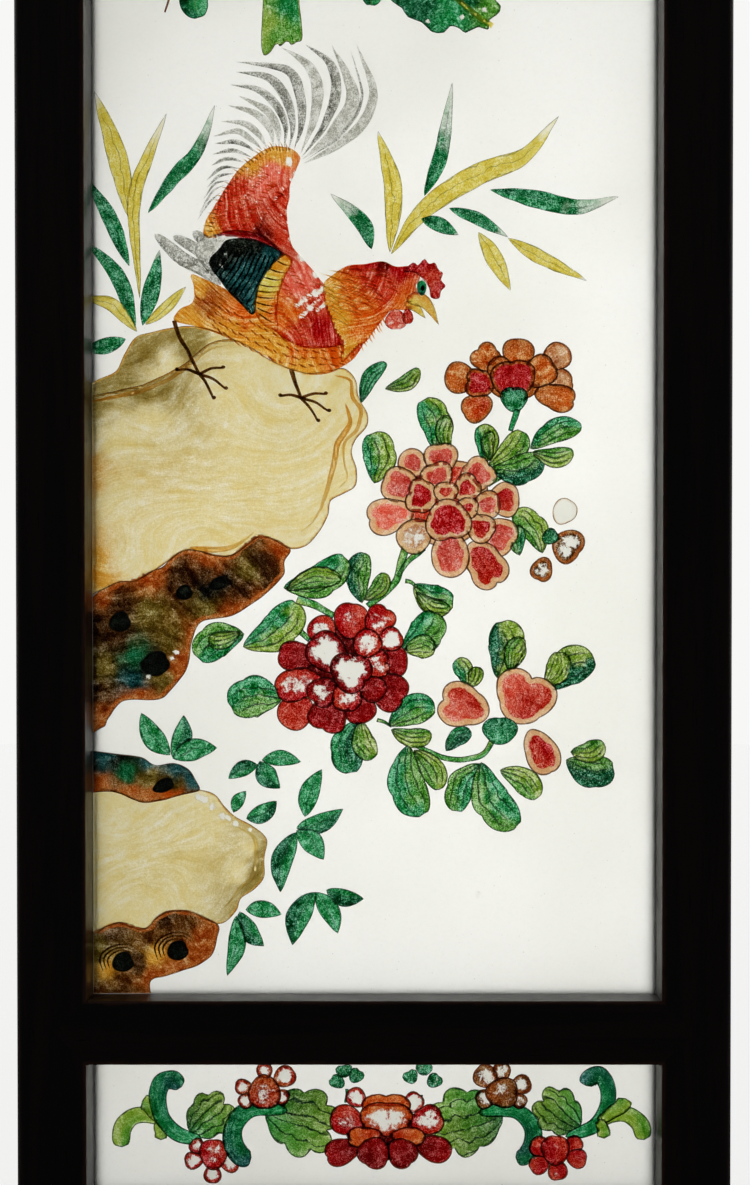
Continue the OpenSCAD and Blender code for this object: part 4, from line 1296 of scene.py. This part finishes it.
def border_right():
    """Right half of the scroll border, a free mirror image of the left."""
    films = [shell((468, 1122), (36, 36), (510, 1112)),
             curl([(516, 1159), (526, 1157), (533, 1145), (533, 1130), (524, 1117), (508, 1111),
                   (478, 1114)], 9)]
    films += blossom((502, 1094), [((502, 1073), 10), ((486, 1078), 13), ((521, 1086), 11), ((519, 1102), 9),
                                   ((486, 1100), 11), ((502, 1094), 17)], ("rust", "brown"), 0.85)
    films += [shell((560, 1114), (26, 24), (590, 1136)),
              curl([(587, 1087), (590, 1080), (600, 1076), (608, 1088), (607, 1108), (594, 1128),
                    (566, 1138)], 8.5)]
    films += blossom((556, 1156), [((540, 1166), 11), ((574, 1146), 10), ((577, 1160), 11), ((558, 1172), 11),
                                   ((541, 1149), 12), ((556, 1152), 16)], RED_PETAL, 0.3)
    films += [curl([(645, 1142), (641, 1126), (628, 1116), (612, 1117), (598, 1124)], 8.5, PALE_CURL),
              curl([(626, 1099), (622, 1108), (612, 1114), (602, 1122)], 7.5, PALE_CURL),
              curl([(605, 1140), (604, 1132), (602, 1126), (600, 1120)], 6.5, PALE_CURL)]
    return films


# Finishes whose edges catch no light, and how little the enamel bends light in these and in the rest
SOFT_EDGED = ("wash", "feather", "plume", "bamboo", "dark_bamboo")
SOFT_IOR = 1.04
ENAMEL_IOR = 1.3
# How each finish is brushed: outline colour and width, pale inner band and its width in millimetres,
# the brush marks as (across, along, depth), the mottle, and the veins as (count, width, strength)
FINISHES = {
    "leaf": ("leaf_ink", 0.38, "spring", 0.0, (6, 1.6, 0.75), 1.7, (4, 0.42, 1.0)),
    "small_leaf": ("leaf_ink", 0.3, "teal", 0.0, (6, 1.6, 0.7), 1.7, (2, 0.3, 0.8)),
    "shell": ("leaf_ink", 0.42, "spring", 0.0, (6, 1.2, 0.8), 1.0, (5, 0.45, 1.1)),
    "curl": ("leaf_ink", 0.42, "spring", 0.0, (4, 1.0, 0.85), 1.0, None),
    "bamboo": ("leaf_ink", 0.14, "yellow", 0.0, (6, 1.2, 0.5), 1.0, (2, 0.18, 0.8)),
    "dark_bamboo": ("leaf_ink", 0.14, "teal", 0.0, (6, 0.8, 0.7), 1.6, (2, 0.2, 0.7)),
    "frond": ("leaf_ink", 0.34, "spring", 0.0, (3, 26, 0.7), 1.1, None),
    "trunk": ("leaf_ink", 0.22, "spring", 0.5, (7, 1.2, 0.6), 1.2, None),
    "stem": ("leaf_ink", 0.34, "spring", 0.0, (5, 1.5, 0.5), 1.4, None),
    "calyx": ("leaf_ink", 0.36, "teal", 0.0, (6, 1.5, 0.6), 1.8, None),
    "petal": ("ink", 0.44, "buff", 2.1, (7, 1.1, 0.6), 1.2, None),
    "rust_petal": ("ink", 0.5, "rust", 1.3, (7, 1.1, 0.7), 1.2, None),
    "dark_petal": ("ink", 0.42, "maroon", 0.5, (7, 1.1, 0.6), 1.1, None),
    "bare_petal": ("ink", 0.2, "buff", 0.4, None, 0.2, None),
    "feather": ("rust", 0.1, "ochre", 0.0, (12, 0.6, 1.3), 0.8, None),
    "wing": ("black", 0.1, "ochre", 0.0, (9, 1.4, 0.6), 0.8, None),
    "comb": ("maroon", 0.12, "crimson", 0.0, (7, 1.5, 0.6), 1.2, None),
    "bill": ("ink", 0.16, "yellow", 0.0, (5, 1.5, 0.5), 0.8, None),
    "plume": ("grey", 0.06, "silver", 0.0, (6, 0.8, 0.5), 2.4, None),
    "rock": ("ink", 0.22, "ochre", 0.6, (3.4, 0.55, 0.9), 0.6, None),
    "rough_rock": ("ink", 0.3, "rust", 1.6, (3, 1.2, 0.9), 0.75, None),
    "dark_rock": ("ink", 0.3, "rust", 0.0, (3, 1.2, 0.9), 0.75, None),
    "hollow": ("black", 0.3, "black", 0.0, None, 0.4, None),
    "wash": ("ink", 0.0, "white", 0.0, None, 0.6, None),
}

# Pieces of the painting from the back layer to the front, as the motifs that each holds
PAINTING = {
    "enamel_banana_plant": [banana_plant],
    "enamel_bamboo_left": [bamboo_left],
    "enamel_rock_upper": [rock_upper],
    "enamel_rock_lower": [rock_lower],
    "enamel_bamboo_right": [bamboo_right],
    "enamel_tail": [tail],
    "enamel_cockerel": [cockerel_body, cockerel_wing, cockerel_head],
    "enamel_branches": [stems],
    "enamel_peony_leaves": [peony_leaves],
    "enamel_rust_peony": [rust_bloom],
    "enamel_crimson_peony": [crimson_bloom],
    "enamel_flaked_peony": [flaked_bloom],
    "enamel_side_peony": [side_bloom],
    "enamel_small_leaves": [small_leaves],
    "enamel_border_left": [border_left],
    "enamel_border_right": [border_right],
    "enamel_border_middle": [border_middle],
}
PLAN = {}


def planned():
    """The films of every piece, each raised by one layer over the films that it overlaps."""
    if PLAN:
        return PLAN
    laid = []
    for piece, motifs in PAINTING.items():
        films = [film for motif in motifs for film in motif()]
        for film in films:
            under = [other.level for other in laid if film.meets(other)]
            film.level = 1 + max(under, default=0)
            film.order = len(laid)
            laid.append(film)
        PLAN[piece] = films
    return PLAN


# How far under a later film a point must lie to be left out, in squares, and the gap at the sight edge
COVER_MARGIN = 0.9
SIGHT_GAP = 0.15 * MM


def covered(film, points):
    """Which points of a film lie well under films that were laid later."""
    hidden = np.zeros(len(points), bool)
    for films in planned().values():
        for later in films:
            apart = (film.low > later.high).any() or (later.low > film.high).any()
            if later.order <= film.order or later.thin or apart:
                continue
            near = ((points > later.low) & (points < later.high)).all(axis=1) & ~hidden
            near[near] = inside(points[near], later.outline)
            if near.any():
                near[near] = nearest_on(points[near], later.outline)[1] > COVER_MARGIN
            hidden |= near
    return hidden


def sight(pane):
    """Left, right, lower and upper sight edge of a pane's opening."""
    over, under = ("top_rail", "middle_rail") if pane == "main_pane" else ("middle_rail", "lower_rail")
    return (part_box("left_stile")[1].x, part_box("right_stile")[0].x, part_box(under)[1].z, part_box(over)[0].z)


def trim_to_sight(bm, pane):
    """Cuts the painting off just inside the sight edges."""
    left, right, lower, upper = sight(pane)
    cuts = (((left + SIGHT_GAP, 0, 0), (-1, 0, 0)), ((right - SIGHT_GAP, 0, 0), (1, 0, 0)),
            ((0, 0, lower + SIGHT_GAP), (0, 0, -1)), ((0, 0, upper - SIGHT_GAP), (0, 0, 1)))
    for place, outward in cuts:
        everything = bm.verts[:] + bm.edges[:] + bm.faces[:]
        bmesh.ops.bisect_plane(bm, geom=everything, dist=1e-7, plane_co=place, plane_no=outward,
                               clear_outer=True)


def lay_film(bm, film, layers, glass_face, slot_of):
    """Adds one film to bm at its own height over the glass."""
    settings = bpy.context.scene.paint
    uv, tint, rim, reach, flake = layers
    verts, points, colours, widths = film.lay(bm, uv, settings.cell)
    margins = nearest_on(points, film.outline)[1] * settings.square / MM
    widest = max(margins.max(), 1e-6)
    hidden = covered(film, points)
    loss = np.maximum(film.flake * np.minimum(1.0, 1.5 * margins / widest), film.worn(points))
    right, up = on_glass(points)
    depth = glass_face - settings.film - film.level * settings.layer
    for number, vert in enumerate(verts):
        vert.co = (right[number], depth, up[number])
        vert[tint] = (*colours[number], 1.0)
        vert[rim] = margins[number]
        vert[reach] = widths[number] * settings.square / MM
        vert[flake] = loss[number]
        vert.tag = bool(hidden[number])
    faces = list({face for vert in verts for face in vert.link_faces})
    gone = [face for face in faces if all(vert.tag for vert in face.verts)]
    kept = [face for face in faces if not all(vert.tag for vert in face.verts)]
    facing = 0.0
    for face in kept:
        face.material_index = slot_of[film.finish]
        face.smooth = True
        face.normal_update()
        facing += face.normal.y * face.calc_area()
    if facing > 0:
        bmesh.ops.reverse_faces(bm, faces=kept)
    bmesh.ops.delete(bm, geom=gone, context="FACES")
    left = [vert for vert in verts if vert.is_valid]
    bmesh.ops.remove_doubles(bm, verts=left, dist=0.004 * MM)


def paint_piece(piece):
    """Builds one piece of the painting as thin raised films of enamel on its pane."""
    settings = bpy.context.scene.paint
    pane = "waist_pane" if "border" in piece else "main_pane"
    films = planned()[piece]
    finishes = sorted({film.finish for film in films})
    slot_of = {finish: number for number, finish in enumerate(finishes)}
    bm = bmesh.new()
    uv = bm.loops.layers.uv.new("brush")
    layers = (uv, bm.verts.layers.float_color.new("tint"), bm.verts.layers.float.new("rim"),
              bm.verts.layers.float.new("reach"), bm.verts.layers.float.new("flake"))
    glass_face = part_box(pane)[0].y
    for film in films:
        lay_film(bm, film, layers, glass_face, slot_of)
    trim_to_sight(bm, pane)
    mesh = bpy.data.meshes.new(piece)
    bm.to_mesh(mesh)
    bm.free()
    for finish in finishes:
        mesh.materials.append(enamel_material(finish))
    painted = bpy.data.objects.new(piece, mesh)
    bpy.context.scene.collection.objects.link(painted)
    body = painted.modifiers.new("film", "SOLIDIFY")
    body.thickness = settings.film
    body.offset = 1.0
    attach(painted, "frame")
    return painted


def enamel_group():
    """Transparent enamel: the thicker it lies, the deeper its colour. It has brush marks, mottle,
    a pale band and a pencilled line along the rim, and chips that lay the glass bare."""
    nodes, given, result = new_group(
        "enamel", {"Tint": BLACK, "Rim": 1.0, "Flake": 0.0, "Place": ORIGIN, "Brush": 0.0, "Vein": 0.0,
                   "Ink": BLACK, "Ink Width": 0.2, "Band": WHITE, "Band Width": 0.0, "Bare": WHITE,
                   "Mottle": 0.5}, ["Colour", "Roughness", "Height"])
    place = given["Place"]
    grain = nodes.cloud(place, 1000.0, 5.0, 0.8)
    fine = nodes.cloud(place, 2600.0, 2.0, 0.6)
    hand = nodes.cloud(place, 300.0, 3.0, 0.6)
    uneven = nodes.plus(nodes.swing(grain, 3.6), nodes.swing(fine, 4.6))
    pooled = nodes.plus(uneven, nodes.swing(hand, 2.6))
    thickness = nodes.plus(nodes.times(pooled, given["Mottle"]), nodes.plus(given["Brush"], 1.3))
    laid = nodes.deepened(given["Tint"], nodes.math("MAXIMUM", thickness, 0.25))
    ragged = nodes.plus(nodes.times(hand, 1.4), 0.3)
    band_edge = nodes.minus(given["Rim"], nodes.times(given["Band Width"], ragged))
    band = nodes.times(nodes.step(band_edge, 0.2, -0.2), nodes.step(given["Band Width"], 0.0, 0.1))
    band_depth = nodes.math("MAXIMUM", nodes.plus(nodes.times(pooled, 0.8), 1.1), 0.3)
    banded = nodes.mix(nodes.times(band, 0.85), laid, nodes.deepened(given["Band"], band_depth))
    line_edge = nodes.minus(given["Rim"], nodes.times(given["Ink Width"], ragged))
    line = nodes.times(nodes.step(line_edge, 0.06, -0.04), nodes.step(given["Ink Width"], 0.0, 0.05))
    marks = nodes.math("MAXIMUM", line, given["Vein"])
    broken = nodes.times(marks, nodes.step(fine, 0.28, 0.42))
    inked = nodes.mix(nodes.times(broken, 0.88), banded, given["Ink"])
    loose = nodes.plus(nodes.cloud(place, 360.0, 9.0, 0.85), nodes.times(given["Flake"], 0.3))
    chipped = nodes.step(loose, 0.69, 0.705)
    lip = nodes.times(nodes.step(loose, 0.668, 0.69), 0.4)
    raised = nodes.plus(nodes.times(grain, 0.6), nodes.times(marks, 0.3))
    nodes.join(result, {"Colour": nodes.mix(chipped, nodes.mix(lip, inked, given["Ink"]), given["Bare"]),
                        "Roughness": nodes.plus(nodes.times(grain, 0.35), 0.28),
                        "Height": nodes.minus(raised, chipped)})


def veins_group():
    """Pencilled veins that run from root to tip, evenly spaced across the stroke."""
    nodes, given, result = new_group(
        "veins", {"Stroke": ORIGIN, "Place": ORIGIN, "Half Width": 1.0, "Count": 5.0, "Width": 0.2}, ["Vein"])
    across, along, _ = nodes.split(given["Stroke"])
    bend = nodes.swing(nodes.cloud(given["Place"], 150.0, 2.0), 1.3)
    turned = nodes.plus(nodes.times(across, given["Count"]), bend)
    off_line = nodes.math("ABSOLUTE", nodes.minus(nodes.math("FRACT", nodes.plus(turned, 0.5)), 0.5))
    spacing = nodes.math("DIVIDE", nodes.times(given["Half Width"], 2.0), given["Count"])
    line = nodes.step(nodes.times(off_line, spacing), given["Width"], nodes.times(given["Width"], 0.3))
    length = nodes.times(nodes.step(along, 0.0, 0.06), nodes.step(along, 0.95, 0.72))
    nodes.join(result, {"Vein": nodes.times(line, length)})


def brush_marks_mask(nodes, stroke, place, brush):
    """Uneven depth of colour along the brush marks, to both sides of nothing."""
    if brush is None:
        return 0.0
    across, along, depth = brush
    drawn = nodes.stretched(stroke, (across, along, 1.0))
    spread = nodes.vector("MULTIPLY", place, (25.0, 25.0, 25.0))
    return nodes.swing(nodes.cloud(nodes.vector("ADD", drawn, spread), 1.0, 4.0, 0.7), 4.0 * depth)


def enamel_material(finish):
    """The material of one finish, made once."""
    name = finish + "_enamel"
    if name in bpy.data.materials:
        return bpy.data.materials[name]
    paint = bpy.context.scene.paint
    ink, ink_width, band, band_width, brush, mottle, veins = FINISHES[finish]
    material, nodes, shader = new_material(name)
    read = {layer: nodes.add("ShaderNodeAttribute", attribute_name=layer).outputs
            for layer in ("tint", "rim", "reach", "flake")}
    stroke = nodes.add("ShaderNodeUVMap", uv_map="brush").outputs[0]
    place = nodes.place()
    values = {"Tint": read["tint"]["Color"], "Rim": read["rim"]["Fac"], "Flake": read["flake"]["Fac"],
              "Place": place, "Brush": brush_marks_mask(nodes, stroke, place, brush),
              "Ink": tuple(getattr(paint, ink)), "Ink Width": ink_width,
              "Band": tuple(getattr(paint, band)), "Band Width": band_width,
              "Bare": tuple(paint.white), "Mottle": mottle}
    if veins:
        count, width, strength = veins
        drawn = nodes.group("veins", {"Stroke": stroke, "Place": place, "Half Width": read["reach"]["Fac"],
                                      "Count": count, "Width": width})
        values["Vein"] = nodes.times(drawn["Vein"], strength)
    enamelled = nodes.group("enamel", values)
    nodes.join(shader, {"Base Color": enamelled["Colour"], "Roughness": enamelled["Roughness"],
                        "Normal": nodes.bump(enamelled["Height"], 0.6, 0.00003),
                        "Transmission Weight": 0.9, "IOR": SOFT_IOR if finish in SOFT_EDGED else ENAMEL_IOR})
    return material


def paint_pieces(pieces):
    """Paints the given pieces, for an operator to return."""
    if "enamel" not in bpy.data.node_groups:
        enamel_group()
        veins_group()
    for piece in pieces:
        paint_piece(piece)
    return {"FINISHED"}


class TABLESCREEN_OT_paint_plants(bpy.types.Operator):
    """Paint the banana plant and the two sprays of bamboo"""

    bl_idname = "tablescreen.paint_plants"
    bl_label = "Paint the Banana Plant and Bamboo"

    def execute(self, context):
        return paint_pieces(["enamel_banana_plant", "enamel_bamboo_left", "enamel_bamboo_right"])


class TABLESCREEN_OT_paint_rocks(bpy.types.Operator):
    """Paint the two rocks"""

    bl_idname = "tablescreen.paint_rocks"
    bl_label = "Paint the Rocks"

    def execute(self, context):
        return paint_pieces(["enamel_rock_upper", "enamel_rock_lower"])


class TABLESCREEN_OT_paint_cockerel(bpy.types.Operator):
    """Paint the cockerel and its tail"""

    bl_idname = "tablescreen.paint_cockerel"
    bl_label = "Paint the Cockerel"

    def execute(self, context):
        return paint_pieces(["enamel_tail", "enamel_cockerel"])


class TABLESCREEN_OT_paint_peonies(bpy.types.Operator):
    """Paint the peonies, their branches and leaves, and the small leaves round the lower rock"""

    bl_idname = "tablescreen.paint_peonies"
    bl_label = "Paint the Peonies"

    def execute(self, context):
        return paint_pieces(["enamel_branches", "enamel_peony_leaves", "enamel_rust_peony",
                             "enamel_crimson_peony", "enamel_flaked_peony", "enamel_side_peony",
                             "enamel_small_leaves"])


class TABLESCREEN_OT_paint_border(bpy.types.Operator):
    """Paint the scroll border of the waist pane"""

    bl_idname = "tablescreen.paint_border"
    bl_label = "Paint the Border"

    def execute(self, context):
        return paint_pieces(["enamel_border_left", "enamel_border_right", "enamel_border_middle"])


# Shares of the studio's light that come from overhead and from before the screen
OVERHEAD_LIGHT = 0.13
FRONT_LIGHT = 0.025


def floor_material():
    """Pale to the eye, and dark to the light that it would throw back on the frame's front."""
    material, nodes, shader = new_material("pale_floor")
    path = nodes.add("ShaderNodeLightPath").outputs
    patch = nodes.cloud(nodes.place(), 3.0, 3.0)
    pale = nodes.mix(patch, shade(200, 200, 198), shade(208, 208, 206))
    behind_glass = nodes.mix(path["Is Transmission Ray"], shade(105, 105, 105), pale)
    lit_behind = nodes.mix(path["Is Transmission Ray"], (0.0, 0.0, 0.0), (0.86, 0.86, 0.86))
    seen = nodes.mix(path["Is Camera Ray"], behind_glass, shade(130, 130, 129))
    lit = nodes.mix(path["Is Camera Ray"], lit_behind, (0.76, 0.76, 0.755))
    nodes.join(shader, {"Base Color": seen, "Emission Color": lit, "Emission Strength": 1.0,
                        "Roughness": 0.75, "Specular IOR Level": 0.2})
    return material


def studio_world():
    """White all round to the eye. As light it is bright behind the screen and dim before it."""
    world = bpy.data.worlds.new("studio")
    bpy.context.scene.world = world
    world.use_nodes = True
    nodes = Nodes(world.node_tree)
    toward = nodes.split(nodes.add("ShaderNodeTexCoord").outputs["Generated"])
    behind = nodes.step(toward["Y"], -0.1, 0.9)
    overhead = nodes.times(nodes.step(toward["Z"], 0.0, 1.0), OVERHEAD_LIGHT)
    level = nodes.plus(behind, nodes.plus(overhead, FRONT_LIGHT))
    light = nodes.add("ShaderNodeBackground", {"Color": (1.0, 1.0, 1.0), "Strength": level})
    seen = nodes.add("ShaderNodeBackground", {"Color": shade(247, 247, 246), "Strength": 1.0})
    camera_ray = nodes.add("ShaderNodeLightPath").outputs["Is Camera Ray"]
    chosen = nodes.add("ShaderNodeMixShader", {0: camera_ray, 1: light.outputs[0], 2: seen.outputs[0]})
    nodes.add("ShaderNodeOutputWorld", {"Surface": chosen.outputs[0]})


class TABLESCREEN_OT_stage(bpy.types.Operator):
    """Lay the floor, hang the lights and set up the camera"""

    bl_idname = "tablescreen.stage"
    bl_label = "Set the Stage"

    def execute(self, context):
        scene = context.scene
        settings = scene.stage
        mesh = bpy.data.meshes.new("floor")
        bm = bmesh.new()
        bmesh.ops.create_grid(bm, x_segments=4, y_segments=4, size=settings.floor_size / 2)
        bm.to_mesh(mesh)
        bm.free()
        floor = bpy.data.objects.new("floor", mesh)
        scene.collection.objects.link(floor)
        mesh.materials.append(floor_material())
        studio_world()

        panel = bpy.data.lights.new("backlight", "AREA")
        panel.shape = "RECTANGLE"
        panel.size, panel.size_y = settings.backlight_size
        panel.energy = settings.backlight
        lamp = bpy.data.objects.new("backlight", panel)
        lamp.location = settings.backlight_place
        lamp.rotation_euler = (-math.pi / 2, 0.0, 0.0)
        lamp.visible_camera = False
        lamp.visible_glossy = False
        lamp.visible_diffuse = False
        scene.collection.objects.link(lamp)

        lens = bpy.data.cameras.new("camera")
        lens.lens = settings.focal_length
        lens.sensor_width = 36.0
        lens.shift_x, lens.shift_y = settings.lens_shift
        lens.clip_start = 0.02
        camera = bpy.data.objects.new("camera", lens)
        camera.location = (settings.eye_side, FRAME_FACE - settings.eye_distance, settings.eye_height)
        camera.rotation_euler = (settings.eye_tilt, 0.0, 0.0)
        scene.collection.objects.link(camera)
        scene.camera = camera

        scene.view_settings.view_transform = "Standard"
        scene.cycles.use_denoising = True
        scene.cycles.transmission_bounces = 14
        scene.cycles.max_bounces = 16
        return {"FINISHED"}


class TABLESCREEN_PT_panel(bpy.types.Panel):
    """The steps and settings of the table screen."""

    bl_label = "Table Screen"
    bl_idname = "TABLESCREEN_PT_panel"
    bl_space_type = "VIEW_3D"
    bl_region_type = "UI"
    bl_category = "Table Screen"

    def draw(self, context):
        layout = self.layout
        for title, settings in (("Wood", context.scene.wood), ("Glass", context.scene.glass),
                                ("Paint", context.scene.paint), ("Stage", context.scene.stage)):
            box = layout.box()
            box.label(text=title)
            for name in settings.__annotations__:
                box.prop(settings, name)
        for step in STEPS:
            layout.operator(step.bl_idname)


GROUPS = {"wood": WoodSettings, "glass": GlassSettings, "paint": PaintSettings, "stage": StageSettings}
STEPS = [TABLESCREEN_OT_wood, TABLESCREEN_OT_glass, TABLESCREEN_OT_paint_plants,
         TABLESCREEN_OT_paint_rocks, TABLESCREEN_OT_paint_cockerel, TABLESCREEN_OT_paint_peonies,
         TABLESCREEN_OT_paint_border, TABLESCREEN_OT_stage]


def register():
    for name, group in GROUPS.items():
        bpy.utils.register_class(group)
        setattr(bpy.types.Scene, name, bpy.props.PointerProperty(type=group))
    for step in STEPS:
        bpy.utils.register_class(step)
    bpy.utils.register_class(TABLESCREEN_PT_panel)


def unregister():
    bpy.utils.unregister_class(TABLESCREEN_PT_panel)
    for step in reversed(STEPS):
        bpy.utils.unregister_class(step)
    for name, group in reversed(GROUPS.items()):
        delattr(bpy.types.Scene, name)
        bpy.utils.unregister_class(group)


def main():
    register()
    for step in STEPS:
        family, call = step.bl_idname.split(".")
        getattr(getattr(bpy.ops, family), call)()


if __name__ == "__main__":
    main()
